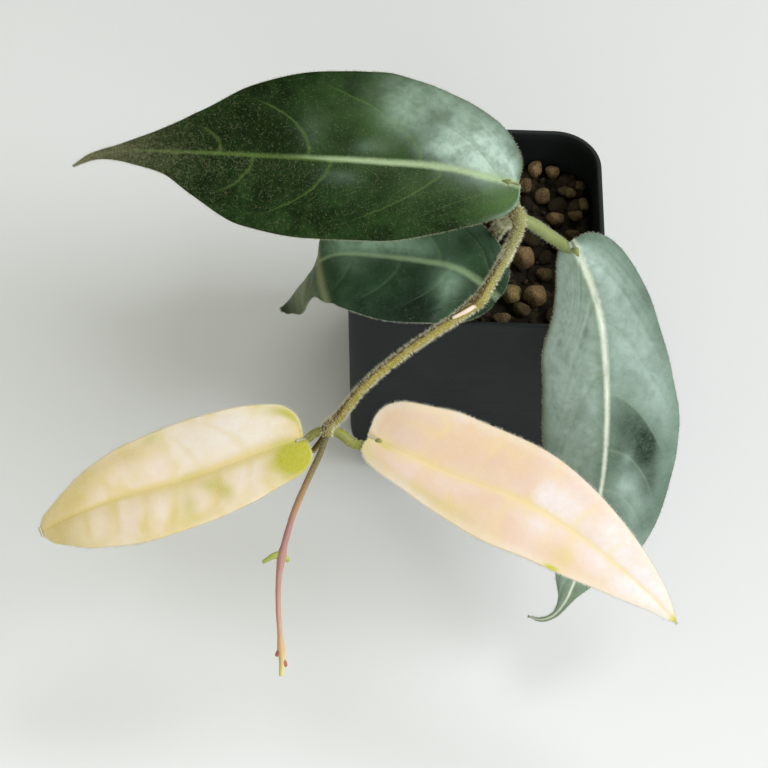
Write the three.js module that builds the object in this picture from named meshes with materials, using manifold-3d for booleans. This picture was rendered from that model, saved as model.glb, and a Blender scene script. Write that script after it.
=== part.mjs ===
// Potted hoya: a young climbing stem with three dark leaves and two pale new ones,
// in a square nursery pot filled with baked clay granules.
// Units are millimetres, +Z is up, and the origin is at the middle of the pot's underside.
// The front of the pot faces -Y.

import * as THREE from 'three';
import { mergeVertices } from 'three/addons/utils/BufferGeometryUtils.js';
import Module from 'manifold-3d';

const wasm = await Module();
wasm.setup();

// Pot: a square tub with round corners, drawn in a little towards its base.
const POT_WIDTH = 75;
const POT_HEIGHT = 80;
const POT_TAPER = 0.966;
const POT_CORNER = 14;
const POT_WALL = 1.3;
const POT_LIP = 1.5;
const POT_LIP_DEPTH = 4;
const POT_FLOOR = 1.8;
const POT_FOOT_ROUND = 6;
const POT_FOOT_STEPS = 4;
const POT_CORNER_STEPS = 6;
const HOLLOW_FOOT_PULL = 4.2;
const DRAIN_RADIUS = 4;
const DRAIN_OFFSET = 17;
const DRAIN_SIDES = 12;

// Substrate: a flat bed with granules standing out of it, and their mean height.
// Each granule's middle lies above the bed by up to GRAIN_LIFT of its radius, so that
// even the flattest one is sunk well in.
const SOIL_TOP = 65.5;
const BED_DROP = 2;
const GRAIN_PITCH = 7;
const GRAIN_RADIUS = [2.7, 4.3];
const GRAIN_STRETCH = [0.8, 1.2];
const GRAIN_LIFT = 0.4;
const GRAIN_SHIFT = 1;
const GRAIN_SEED = 41;

// Neighbouring pieces keep this distance, and a cutting body runs past by CLEAR.
const GAP = 0.3;
const CLEAR = 20;

// Points closer than this are one point.
const WELD = 1e-4;

// Stem: where it stands, how deep, and its hole in the substrate.
const STEM_DEPTH = 24;
const STEM_SIDES = 10;
const STALK_SIDES = 8;
const SCALE_SIDES = 6;
const FOOT = [3.6, 0];
const FOOT_RADIUS = 2.1;

// Blade: its thickness, the veins' relief, and the keel under the midrib.
const BLADE_THICKNESS = 1;
const VEIN_PAIRS = 6;
const VEIN_DEPTH = 0.25;
const VEIN_SWEEP = 0.07;
const VEIN_FADE = 0.12;
const KEEL_DEPTH = 1.1;
const KEEL_WIDTH = 0.08;

// The shares of the rib over which a blade's two ends are rounded, and how narrow they get.
const BASE_ROUND = 0.1;
const BASE_NARROW = 0.02;
const BASE_FULLNESS = 3;
const TIP_ROUND = 0.03;
const TIP_NARROW = 0.5;
const TIP_FULLNESS = 2;

// How much less the base lobes reach right beside the stalk, and over which share of the rib.
const NOTCH = 0.4;
const NOTCH_RUN = 0.008;

const COLOURS = { pot: 0x2c3134, substrate: 0x8a6a4c, stem: 0x8d7338, shoot: 0x8a5a5e };
const ROUGHNESS = { pot: 0.55, substrate: 0.95, stem: 0.8, shoot: 0.6, leaf: 0.5 };

// Each row of a route is x, y, z and the radius there.
const STEM_ROUTE = [
  [...FOOT, SOIL_TOP - STEM_DEPTH, FOOT_RADIUS],
  [...FOOT, 58, 2],
  [...FOOT, 69, 1.9],
  [4.1, -4.8, 78, 1.9],
  [4.6, -11, 89, 1.8],
  [5.4, -18, 101, 1.8],
  [6.6, -27, 115, 1.8],
  [7.9, -33, 124, 2.2],
  [8.4, -36, 123, 1.6],
  [6.4, -41, 120, 1.4],
  [3.8, -46.2, 118.3, 1.3],
  [0.6, -51.8, 116.2, 1.4],
  [-2, -55.8, 115, 1.95],
  [-4.4, -57.6, 114.2, 1.55],
  [-8.4, -60.4, 112.7, 1.25],
  [-19.2, -67.3, 109.1, 1.2],
  [-31.3, -76.5, 104, 1.25],
  [-38, -83.5, 99, 1.35],
  [-40.6, -85.6, 97.6, 1.6],
  [-41, -87.7, 96.1, 1.4],
];

const SHOOT_ROUTE = [
  [-40.7, -87, 96.6, 0.9],
  [-42.2, -91.1, 93.7, 0.85],
  [-45.1, -96.5, 89.5, 0.85],
  [-48.7, -103.7, 83.8, 0.85],
  [-51.1, -110.6, 77.9, 0.9],
  [-51.6, -112.6, 76.2, 1.25],
  [-52.2, -116.9, 72.8, 0.8],
  [-52.2, -122.7, 68.1, 0.7],
  [-51.5, -129, 62.6, 0.7],
  [-51.1, -131.8, 60, 1.1],
  [-50.8, -134.2, 57.8, 0.8],
  [-50.9, -137.2, 55.1, 0.6],
];

// A spur left by an old flower stalk, under the fourth node.
const SPUR_ROUTE = [
  [-40.9, -86.6, 96.4, 0.8],
  [-42.6, -87.9, 93.8, 0.65],
  [-44.4, -89.2, 91.2, 0.75],
];

// The torn sheath at the third node, and the two scales at the fifth.
const SHEATH_ROUTE = [
  [-2.1, -57.2, 115.7, 0.55],
  [-4.9, -59.2, 115.3, 0.6],
  [-8.6, -60.9, 114.2, 0.4],
];
const SCALE_ROUTES = [
  [[-51.4, -112.2, 76.6, 0.9], [-53.6, -112.9, 76.4, 0.9], [-56.6, -114.4, 75.4, 0.45]],
  [[-51.6, -112.4, 76.4, 0.9], [-50.6, -112.9, 75.6, 0.8], [-49.9, -113.4, 74.6, 0.45]],
];
const BUD_ROUTES = [
  [[-51.1, -131.9, 60, 0.9], [-51.8, -132.7, 59.4, 0.8], [-52.4, -133.3, 58.8, 0.45]],
  [[-50.9, -133.8, 58, 0.8], [-50, -134.6, 57.4, 0.7], [-49.6, -135.3, 56.8, 0.4]],
];

// Leaves. rib is the midrib from the base to the tip, face is the way the blade looks.
// A row of edge is the share of the rib, the half widths to the left and the right as
// seen from the base, and how many degrees each half rises from the rib.
// lobe is how far the left and the right base lobe reach behind the stalk, and cup how much
// a half bulges.
const LEAVES = {
  leaf_top: {
    rib: [
      [5.9, -25.8, 128.8], [-12, -23.4, 131.2], [-30, -23.2, 132.4], [-55, -23, 133],
      [-80, -22, 132.5], [-97, -21.7, 131.8], [-106.2, -22.6, 130.4],
      [-110.8, -24.8, 128.8],
    ],
    face: [0, -0.3, 1],
    edge: [
      [0, 9.8, 10.2, -5, 0], [0.05, 12, 14.6, -5, 0], [0.15, 18.4, 21.5, -5, 0],
      [0.3, 22.1, 26.5, -5, 0], [0.45, 22.4, 25.5, -5, 0], [0.6, 19.8, 20.6, -5, 0],
      [0.72, 12, 11.8, -5, 0], [0.79, 6.3, 7, -5, 0], [0.85, 4.2, 3.8, -5, 0],
      [0.92, 1.9, 1.3, -5, 0], [1, 0.5, 0.5, -5, 0],
    ],
    lobe: [5, 4],
    cup: 0.1,
    stalk: [
      [7.4, -32.6, 123.6, 2], [6.9, -30.4, 124.6, 1.9], [6, -27.6, 126.2, 1.7],
      [4.2, -25.8, 127, 1.3],
    ],
    colour: 0x23452c,
  },
  leaf_right: {
    rib: [
      [24.6, -35.2, 113.2], [28, -40.5, 109], [32, -49, 102], [34.5, -59.7, 91],
      [35.7, -70, 78], [35.5, -80, 64.5], [33, -91, 50], [29.3, -98.6, 39.8],
      [27.3, -101.6, 35.1], [24.5, -103.7, 31.5], [20.9, -104.5, 30], [17.7, -103.6, 29.9],
    ],
    face: [0.1, -0.75, 0.65],
    edge: [
      [0, 9.2, 6.6, -12, -38], [0.06, 12, 9.4, -12, -38], [0.15, 15, 14.8, -12, -38],
      [0.3, 19, 20, -12, -38], [0.45, 22, 20, -12, -38], [0.6, 20.4, 18, -12, -38],
      [0.72, 16.8, 14, -12, -32], [0.78, 11, 9.2, -12, -27], [0.84, 5.4, 5.7, -12, -22],
      [0.89, 1.9, 2.4, -12, -18], [0.94, 1, 0.9, -12, -15], [1, 0.6, 0.6, -15, -15],
    ],
    lobe: [4, 3.6],
    cup: 0.1,
    stalk: [
      [8.6, -33.6, 123.4, 1.7], [13.1, -33.5, 120.2, 1.8], [17.5, -33.7, 116.2, 1.8],
      [21.5, -33.3, 112, 1.7], [25.2, -35.2, 110.3, 1.5],
    ],
    colour: 0x4f6f5b,
  },
  leaf_low: {
    rib: [
      [4.8, -31, 85.2], [-0.5, -28, 88.4], [-7, -25.7, 91], [-22.7, -24.6, 93],
      [-36, -24, 93.6], [-42.3, -24.2, 92.6], [-46.2, -24.6, 89.8], [-48.6, -24.4, 85],
      [-51.4, -24, 78.6], [-54.3, -24.6, 72.8], [-56.9, -25.5, 69.3],
    ],
    face: [-0.3, -0.16, 1],
    edge: [
      [0, 9, 6, -2, 0], [0.06, 13.5, 10, -2, 0], [0.2, 17.8, 16.5, -3, 0],
      [0.4, 19.4, 18.5, -4, 0], [0.58, 17.1, 17, -4, 0], [0.68, 14.2, 15, -4, -15],
      [0.775, 8.2, 10.2, -2, -65], [0.84, 9, 7.5, 1, -70], [0.9, 8.4, 5.4, 5, -75],
      [0.95, 5.4, 3.8, 8, -70], [1, 3.2, 2, 10, -60],
    ],
    lobe: [1.8, 1.8],
    cup: 0.1,
    stalk: [
      [3.9, -6.5, 77.5, 1.6], [3.6, -13, 78.6, 1.5], [3.8, -22, 80.8, 1.5],
      [4.2, -29.6, 83.8, 1.5],
    ],
    colour: 0x2c4a3a,
  },
  leaf_pale_left: {
    rib: [
      [-48.6, -88.4, 94.7], [-57, -90.1, 92], [-75.5, -94.7, 85.3], [-95, -98, 79.4],
      [-110.3, -101.6, 73.2], [-117.1, -103.6, 69.3],
    ],
    face: [0, -0.3, 1],
    edge: [
      [0, 8.4, 9.2, 0, 0], [0.07, 9.6, 11.6, 0, 0], [0.2, 11.9, 14.6, 0, 0],
      [0.4, 13, 16, 0, 0], [0.6, 13.9, 14.2, 0, 0], [0.8, 11.1, 9.8, 0, 0],
      [0.93, 6.6, 5, 0, 0], [1, 3, 2.8, 0, 0],
    ],
    lobe: [4.6, 3.3],
    cup: 0.08,
    stalk: [
      [-41.5, -86, 97, 1.2], [-44.1, -86.7, 96, 1.3], [-46.6, -87.8, 93.9, 1.1],
      [-49, -88.4, 93.1, 0.8],
    ],
    colour: 0xe8d3b0,
  },
  leaf_pale_right: {
    rib: [
      [-27.2, -87.8, 95.4], [-20, -91.2, 94.8], [-7.7, -95.6, 92.6], [13.5, -101.7, 88.3],
      [31, -110, 81.3], [45, -118.7, 74], [53.1, -124.4, 68.2],
    ],
    face: [0, -0.3, 1],
    edge: [
      [0, 12.2, 6.8, 0, 0], [0.07, 13.6, 7.8, 0, 0], [0.2, 16.4, 10.9, 0, 0],
      [0.4, 15.5, 14.4, 0, 0], [0.6, 12.5, 12.4, 0, 0], [0.8, 7.7, 7.5, 0, 0],
      [0.93, 3.6, 2.8, 0, 0], [1, 0.5, 0.5, 0, 0],
    ],
    lobe: [5.3, 4.3],
    cup: 0.08,
    stalk: [
      [-39.7, -85.5, 96.4, 1.5], [-37, -86.3, 95.4, 1.5], [-34.4, -87.7, 93.8, 1.5],
      [-31.6, -88.3, 93.3, 1.4], [-27.4, -87.9, 93.9, 1.2],
    ],
    colour: 0xf0d2bd,
  },
};

const radians = THREE.MathUtils.degToRad;
const point = (row) => new THREE.Vector3(row[0], row[1], row[2]);

// A repeatable source of numbers from 0 to 1.
function draws(seed) {
  const factor = 1664525;
  const step = 1013904223;
  const range = 2 ** 32;
  let state = seed;
  return () => {
    state = (state * factor + step) % range;
    return state / range;
  };
}

// A closed skin over a row of equal rings of points. Flat rings, such as a blade's, hold
// their upper points first and their lower points backwards, and are closed straight across.
function skin(rings, flat = false) {
  const around = rings[0].length;
  const half = around / 2;
  const positions = rings.flat().flatMap((p) => [p.x, p.y, p.z]);
  const faces = [];
  const at = (ring, spot) => ring * around + ((spot + around) % around);
  for (let ring = 0; ring < rings.length - 1; ring += 1) {
    for (let spot = 0; spot < around; spot += 1) {
      const a = at(ring, spot);
      const b = at(ring, spot + 1);
      const c = at(ring + 1, spot + 1);
      const d = at(ring + 1, spot);
      if (flat && spot >= half) faces.push(a, b, d, b, c, d);
      else faces.push(a, c, d, a, b, c);
    }
  }
  const last = rings.length - 1;
  if (flat) {
    for (let spot = 0; spot < half - 1; spot += 1) {
      const under = around - 1 - spot;
      faces.push(at(0, spot), at(0, under), at(0, spot + 1));
      faces.push(at(0, spot + 1), at(0, under), at(0, under - 1));
      faces.push(at(last, spot), at(last, spot + 1), at(last, under));
      faces.push(at(last, spot + 1), at(last, under - 1), at(last, under));
    }
  } else {
    for (let spot = 1; spot < around - 1; spot += 1) {
      faces.push(at(0, 0), at(0, spot + 1), at(0, spot));
      faces.push(at(last, 0), at(last, spot), at(last, spot + 1));
    }
  }
  const geometry = new THREE.BufferGeometry();
  geometry.setAttribute('position', new THREE.Float32BufferAttribute(positions, 3));
  geometry.setIndex(faces);
  return geometry;
}

function solid(geometry) {
  const bare = geometry.clone();
  bare.deleteAttribute('normal');
  bare.deleteAttribute('uv');
  const merged = mergeVertices(bare, WELD);
  return new wasm.Manifold(new wasm.Mesh({
    numProp: 3,
    vertProperties: new Float32Array(merged.attributes.position.array),
    triVerts: new Uint32Array(merged.index.array),
  }));
}

function fromSolid(body) {
  const mesh = body.getMesh();
  const geometry = new THREE.BufferGeometry();
  geometry.setAttribute('position', new THREE.Float32BufferAttribute(mesh.vertProperties, 3));
  geometry.setIndex(Array.from(mesh.triVerts));
  return geometry;
}

// A round rod along a route of [x, y, z, radius] rows, grown all over by extra.
function rod(route, sides = STEM_SIDES, extra = 0, steps = (route.length - 1) * 2) {
  const curve = new THREE.CatmullRomCurve3(route.map(point));
  const frames = curve.computeFrenetFrames(steps);
  const rings = [];
  for (let step = 0; step <= steps; step += 1) {
    const share = step / steps;
    const centre = curve.getPointAt(share);
    const t = curve.getUtoTmapping(share) * (route.length - 1);
    const row = Math.min(Math.floor(t), route.length - 2);
    const radius = THREE.MathUtils.lerp(route[row][3], route[row + 1][3], t - row) + extra;
    const ring = [];
    for (let side = 0; side < sides; side += 1) {
      const turn = (side / sides) * Math.PI * 2;
      ring.push(centre.clone()
        .addScaledVector(frames.normals[step], Math.cos(turn) * radius)
        .addScaledVector(frames.binormals[step], Math.sin(turn) * radius));
    }
    rings.push(ring);
  }
  if (extra > 0) {
    const reach = (ring, tangent, way) => ring.map((p) => p.clone().addScaledVector(tangent, way));
    rings.unshift(reach(rings[0], frames.tangents[0], -extra));
    rings.push(reach(rings[rings.length - 1], frames.tangents[steps], extra));
  }
  return skin(rings);
}

// One level ring of a square with round corners, centred on the pot.
function squareRing(halfWidth, corner, z) {
  const ring = [];
  for (let quarter = 0; quarter < 4; quarter += 1) {
    for (let step = 0; step <= POT_CORNER_STEPS; step += 1) {
      const turn = (quarter + step / POT_CORNER_STEPS) * (Math.PI / 2);
      const side = quarter * (Math.PI / 2) + Math.PI / 4;
      const middle = (halfWidth - corner) * Math.SQRT2;
      ring.push(new THREE.Vector3(
        middle * Math.cos(side) + corner * Math.cos(turn),
        middle * Math.sin(side) + corner * Math.sin(turn),
        z,
      ));
    }
  }
  return ring;
}

// Half the pot's outer width at a height.
function potHalf(z) {
  return (POT_WIDTH / 2) * THREE.MathUtils.lerp(POT_TAPER, 1, z / POT_HEIGHT);
}

// The body of the pot's hollow, pulled in by a margin.
function hollow(margin, bottom, top) {
  const rings = [bottom, POT_FOOT_ROUND + POT_FLOOR, top].map((z, place) => {
    const pull = POT_WALL + margin + (place === 0 ? HOLLOW_FOOT_PULL : 0);
    return squareRing(potHalf(z) - pull, POT_CORNER - pull, z);
  });
  return solid(skin(rings));
}

function pot() {
  const rings = [];
  for (let step = 0; step <= POT_FOOT_STEPS; step += 1) {
    const turn = (step / POT_FOOT_STEPS) * (Math.PI / 2);
    const pull = POT_FOOT_ROUND * (1 - Math.sin(turn));
    const z = POT_FOOT_ROUND * (1 - Math.cos(turn));
    rings.push(squareRing(potHalf(z) - pull, POT_CORNER - pull, z));
  }
  const lipRound = POT_LIP / 3;
  rings.push(squareRing(potHalf(POT_HEIGHT), POT_CORNER, POT_HEIGHT - lipRound));
  rings.push(squareRing(potHalf(POT_HEIGHT) - lipRound, POT_CORNER - lipRound, POT_HEIGHT));
  const outside = solid(skin(rings));
  const throat = squareRing(potHalf(POT_HEIGHT) - POT_LIP, POT_CORNER - POT_LIP, POT_HEIGHT);
  const mouth = solid(skin([
    squareRing(potHalf(POT_HEIGHT) - POT_WALL, POT_CORNER - POT_WALL, POT_HEIGHT - POT_LIP_DEPTH),
    throat,
    throat.map((p) => p.clone().setZ(POT_HEIGHT + CLEAR)),
  ]));
  let body = outside
    .subtract(hollow(0, POT_FLOOR, POT_HEIGHT - POT_LIP_DEPTH))
    .subtract(mouth);
  for (const side of [[1, 1], [1, -1], [-1, 1], [-1, -1]]) {
    const drill = new THREE.CylinderGeometry(DRAIN_RADIUS, DRAIN_RADIUS, CLEAR, DRAIN_SIDES);
    drill.rotateX(Math.PI / 2).translate(side[0] * DRAIN_OFFSET, side[1] * DRAIN_OFFSET, 0);
    body = body.subtract(solid(drill));
  }
  return fromSolid(body);
}

// Whether a place lies within the hollow's outline at the substrate's height.
function insideHollow(x, y) {
  const corner = POT_CORNER - POT_WALL - GAP;
  const straight = potHalf(SOIL_TOP) - POT_WALL - GAP - corner;
  const past = (value) => Math.max(Math.abs(value) - straight, 0);
  return Math.hypot(past(x), past(y)) < corner;
}

// Granules stand out of the bed by a seeded rule, one to a place on a loose grid.
function substrate() {
  const draw = draws(GRAIN_SEED);
  const between = (range) => THREE.MathUtils.lerp(...range, draw());
  const shift = () => between([-GRAIN_SHIFT, GRAIN_SHIFT]);
  const bed = SOIL_TOP - BED_DROP;
  const bodies = [hollow(GAP, POT_FLOOR + GAP, bed)];
  const rows = Math.floor(potHalf(SOIL_TOP) / GRAIN_PITCH);
  for (let row = -rows; row <= rows; row += 1) {
    for (let column = -rows; column <= rows; column += 1) {
      const stagger = row % 2 === 0 ? 0 : GRAIN_PITCH / 2;
      const radius = between(GRAIN_RADIUS);
      const grain = new THREE.IcosahedronGeometry(radius, 0);
      grain.scale(between(GRAIN_STRETCH), between(GRAIN_STRETCH), between(GRAIN_STRETCH));
      grain.rotateX(draw() * Math.PI).rotateZ(draw() * Math.PI);
      const x = column * GRAIN_PITCH + stagger + shift();
      const y = row * GRAIN_PITCH + shift();
      grain.translate(x, y, bed + radius * GRAIN_LIFT * draw());
      if (insideHollow(x, y)) bodies.push(solid(grain));
    }
  }
  const heap = wasm.Manifold.union(bodies);
  const inside = hollow(GAP, POT_FLOOR + GAP, POT_HEIGHT - POT_LIP_DEPTH);
  const radius = FOOT_RADIUS + GAP;
  const hole = new THREE.CylinderGeometry(radius, radius, STEM_DEPTH + CLEAR, STEM_SIDES * 2);
  const holeFloor = SOIL_TOP - STEM_DEPTH - GAP;
  hole.rotateX(Math.PI / 2).translate(...FOOT, holeFloor + (STEM_DEPTH + CLEAR) / 2);
  return fromSolid(heap.intersect(inside).subtract(solid(hole)));
}

// Reads one column of a leaf's edge table at any share of the rib, without overshoot.
function edgeAt(edge, column, share) {
  let row = 0;
  while (row < edge.length - 2 && share > edge[row + 1][0]) row += 1;
  const slope = (k) => (edge[k + 1][column] - edge[k][column]) / (edge[k + 1][0] - edge[k][0]);
  const bend = (k) => {
    if (k === 0) return slope(0);
    if (k === edge.length - 1) return slope(k - 1);
    const before = slope(k - 1);
    const after = slope(k);
    return before * after <= 0 ? 0 : (2 * before * after) / (before + after);
  };
  const span = edge[row + 1][0] - edge[row][0];
  const t = THREE.MathUtils.clamp((share - edge[row][0]) / span, 0, 1);
  return (2 * t ** 3 - 3 * t ** 2 + 1) * edge[row][column]
    + (t ** 3 - 2 * t ** 2 + t) * span * bend(row)
    + (3 * t ** 2 - 2 * t ** 3) * edge[row + 1][column]
    + (t ** 3 - t ** 2) * span * bend(row + 1);
}

// A point of the blade's upper face. across runs from -1 at the left edge to 1 at the right.
function bladePoint(leaf, curve, share, across) {
  const reach = Math.abs(across);
  const side = across < 0 ? 0 : 1;
  const centre = curve.getPointAt(share);
  const along = curve.getTangentAt(share);
  const face = new THREE.Vector3(...leaf.face).normalize();
  const left = new THREE.Vector3().crossVectors(face, along).normalize();
  const up = new THREE.Vector3().crossVectors(along, left);
  const away = side === 0 ? 1 : -1;
  const lean = radians(edgeAt(leaf.edge, 3 + side, share));
  const rounded = (distance, power) => Math.sqrt(1 - (1 - Math.min(distance, 1)) ** power);
  const width = edgeAt(leaf.edge, 1 + side, share)
    * Math.max(rounded(share / BASE_ROUND, BASE_FULLNESS), BASE_NARROW)
    * Math.max(rounded((1 - share) / TIP_ROUND, TIP_FULLNESS), TIP_NARROW);
  const outward = left.clone().multiplyScalar(away * Math.cos(lean))
    .addScaledVector(up, Math.sin(lean));
  const bulge = leaf.cup * width * 2 * (reach - reach ** 2);
  const behind = leaf.lobe[side] * Math.exp(-((share / BASE_ROUND) ** 2))
    * (1 - NOTCH * Math.exp(-share / NOTCH_RUN)) * reach ** 1.5;
  return centre.addScaledVector(outward, width * reach)
    .addScaledVector(up, bulge)
    .addScaledVector(along, -behind);
}

const BLADE_ROWS = VEIN_PAIRS * 4;
const BLADE_COLUMNS = [-1, -0.82, -0.55, -0.28, -0.07, 0, 0.07, 0.28, 0.55, 0.82, 1];

// Rows lie closer together at the base, where the lobes curl round the stalk.
function rowShare(row) {
  const t = row / BLADE_ROWS;
  return t < 0.5 ? 0.5 * (2 * t) ** 1.6 : 1 - 0.5 * (2 - 2 * t) ** 1.15;
}

// Each blade's rows lean towards its tip as its side veins do. One row in four is sunk
// as a vein and the rows midway between two veins stand proud.
function leafSolid(leaf) {
  const curve = new THREE.CatmullRomCurve3(leaf.rib.map(point));
  const place = (share, across) => {
    const swept = share + VEIN_SWEEP * Math.sin(Math.PI * share) * Math.abs(across);
    return bladePoint(leaf, curve, swept, across);
  };
  const step = 0.01;
  const rings = [];
  for (let row = 0; row <= BLADE_ROWS; row += 1) {
    const share = rowShare(row);
    const ends = Math.min(share / VEIN_FADE, 1, (1 - share) / VEIN_FADE);
    const sunk = row % 4 === 0 ? -1 : row % 2;
    const upper = [];
    const lower = [];
    for (const across of BLADE_COLUMNS) {
      const top = place(share, across);
      const alongEdge = place(Math.min(share + step, 1), across)
        .sub(place(Math.max(share - step, 0), across));
      const acrossEdge = place(share, Math.max(across - step, -1))
        .sub(place(share, Math.min(across + step, 1)));
      const normal = alongEdge.cross(acrossEdge).normalize();
      const fade = Math.sin((Math.PI / 2) * ends) * Math.sin(Math.PI * Math.abs(across)) ** 0.5;
      top.addScaledVector(normal, sunk * VEIN_DEPTH * fade);
      const keel = KEEL_DEPTH * (1 - share) * Math.exp(-((across / KEEL_WIDTH) ** 2));
      upper.push(top);
      lower.push(top.clone().addScaledVector(normal, -BLADE_THICKNESS - keel));
    }
    rings.push([...upper, ...lower.reverse()]);
  }
  return solid(skin(rings, true)).add(solid(rod(leaf.stalk, STALK_SIDES)));
}

function stemSolid() {
  return solid(rod(STEM_ROUTE))
    .add(solid(rod(SPUR_ROUTE, SCALE_SIDES)))
    .add(solid(rod(SHEATH_ROUTE, SCALE_SIDES)));
}

function shootSolid() {
  return wasm.Manifold.union([
    solid(rod(SHOOT_ROUTE, STALK_SIDES)),
    ...[...SCALE_ROUTES, ...BUD_ROUTES].map((route) => solid(rod(route, SCALE_SIDES))),
  ]);
}

function finish(colour, roughness) {
  return new THREE.MeshStandardMaterial({ color: colour, roughness, metalness: 0 });
}

const plant = new THREE.Group();

function addPiece(parent, name, geometry, material) {
  const mesh = new THREE.Mesh(geometry, material);
  mesh.name = name;
  parent.add(mesh);
}

addPiece(plant, 'pot', pot(), finish(COLOURS.pot, ROUGHNESS.pot));
addPiece(plant, 'substrate', substrate(), finish(COLOURS.substrate, ROUGHNESS.substrate));
addPiece(plant, 'stem', fromSolid(stemSolid()), finish(COLOURS.stem, ROUGHNESS.stem));

// The shoot and the leaf stalks butt against the stem, a gap away from it.
const stemRoom = wasm.Manifold.union([
  solid(rod(STEM_ROUTE, STEM_SIDES, GAP)),
  solid(rod(SPUR_ROUTE, SCALE_SIDES, GAP)),
]);
const shoot = fromSolid(shootSolid().subtract(stemRoom));
addPiece(plant, 'shoot', shoot, finish(COLOURS.shoot, ROUGHNESS.shoot));
for (const [name, leaf] of Object.entries(LEAVES)) {
  const blade = fromSolid(leafSolid(leaf).subtract(stemRoom));
  addPiece(plant, name, blade, finish(leaf.colour, ROUGHNESS.leaf));
}

export default plant;
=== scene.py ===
import math
import random
from bisect import bisect_right
from itertools import chain

import bmesh
import bpy
from bpy.props import FloatProperty, FloatVectorProperty, IntProperty, PointerProperty
from mathutils import Matrix, Quaternion, Vector, noise


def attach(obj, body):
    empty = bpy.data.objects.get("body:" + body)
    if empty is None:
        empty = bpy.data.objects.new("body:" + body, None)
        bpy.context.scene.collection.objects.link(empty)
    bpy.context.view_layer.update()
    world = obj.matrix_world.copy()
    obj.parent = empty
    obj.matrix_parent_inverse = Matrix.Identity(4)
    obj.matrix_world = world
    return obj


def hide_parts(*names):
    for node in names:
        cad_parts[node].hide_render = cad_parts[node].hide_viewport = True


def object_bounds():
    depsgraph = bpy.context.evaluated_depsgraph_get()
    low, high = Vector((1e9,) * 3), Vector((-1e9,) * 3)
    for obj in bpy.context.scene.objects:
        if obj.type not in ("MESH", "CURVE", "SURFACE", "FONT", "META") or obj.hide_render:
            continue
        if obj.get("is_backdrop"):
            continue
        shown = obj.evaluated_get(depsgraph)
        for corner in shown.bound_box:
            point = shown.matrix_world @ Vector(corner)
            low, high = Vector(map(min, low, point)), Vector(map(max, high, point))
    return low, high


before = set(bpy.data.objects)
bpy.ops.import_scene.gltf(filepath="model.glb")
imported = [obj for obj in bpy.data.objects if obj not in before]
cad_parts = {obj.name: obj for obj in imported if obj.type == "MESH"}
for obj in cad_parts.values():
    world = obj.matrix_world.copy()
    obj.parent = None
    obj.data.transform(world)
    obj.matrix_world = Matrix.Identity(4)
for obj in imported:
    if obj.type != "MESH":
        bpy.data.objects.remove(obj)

bl_info = {
    "name": "Potted hoya",
    "version": (1, 0, 0),
    "blender": (4, 5, 0),
    "location": "3D View > Sidebar > Hoya",
    "description": "Builds a young climbing hoya in a square nursery pot around its solids",
    "category": "Object",
}

# Sizes are in millimetres, and the meshes in metres.
MM = 0.001
CAD_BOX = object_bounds()

# The pot, as in the solids.
POT_TAPER = 0.966
POT_LIP_DEPTH = 4
POT_LIP_SLOPE = 0.4
POT_RIM_ROUND = 0.5
POT_FLOOR = 1.8
POT_FOOT_ROUND = 6
POT_INNER_ROUND = 4.2
DRAIN_RADIUS = 4
DRAIN_OFFSET = 17
# Faces that meet at more than this many degrees keep a crisp edge.
POT_CRISP_ANGLE = 50

# The substrate, as in the solids.
SOIL_TOP = 65.5
BED_DROP = 2
GAP = 0.3
GRAIN_PITCH = 7
GRAIN_RADIUS = (2.7, 4.3)
GRAIN_STRETCH = (0.8, 1.2)
GRAIN_LIFT = 0.4
GRAIN_SHIFT = 1
GRAIN_SEED = 41
# How many stones each kind of granule is shaped after, and how many flats a stone has.
GRAIN_SHAPES = 7
CRUMB_SHAPES = 4
STONE_FLATS = 9
FLAT_DEPTH = (0.62, 0.95)
FLAT_STRENGTH = 0.85
# Crumbs lie about the bed's top, and are dark.
CRUMB_RADIUS = (0.5, 1.5)
CRUMB_LIFT = (-0.6, 0.9)
CRUMB_TINT = 0.15
# The granules between those that stand out are dark and lower, most of all beside one.
HIDDEN_SIZE = 0.85
HIDDEN_TINT = 0.1
HIDDEN_DROP = 0.8
BESIDE_DROP = 2.2
BESIDE = 5
# A granule that stands out is half as thick and deep as it looks, and a bit more.
SEEN_HALF = 0.52
SEEN_THICKNESS = 0.48
# The granules that stand out: x, y, width, depth, lift above the rest and tint, pale at 1.
SEEN_GRAINS = (
    (18.5, 35.2, 4.4, 5.8, 1.5, 0.8), (23.9, 32.3, 4.4, 3.9, 1.2, 0.75), (15.7, 27.2, 4, 4.4, 0.5, 0.5),
    (20.8, 23, 5, 4.6, 0.8, 0.4), (29.5, 24.9, 4, 3, 0, 0.35), (32.6, 27.9, 3.6, 3, 0, 0.25),
    (27, 26, 3.2, 3, -0.4, 0.2), (34.2, 19.9, 3.6, 4.6, 0.6, 0.5), (24.6, 14, 5.4, 3.4, 1, 0.7),
    (30.4, 15, 4.6, 3.6, 1, 0.6), (14.5, -1.9, 7.2, 7, 1.5, 0.7), (20.7, -7.2, 4.8, 4.2, 0, 0.25),
    (10.8, -15.5, 6.2, 5.6, 1.2, 0.75), (18, -16.1, 7, 6.6, 1.4, 0.7), (13.8, -20.4, 5.4, 4, 0, 0.3),
    (29.5, 8.3, 4.4, 3.4, 0, 0.25), (25, 4.6, 5, 4, 0.2, 0.35), (7.6, -24.6, 5.2, 4.4, 0.2, 0.35),
)

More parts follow.
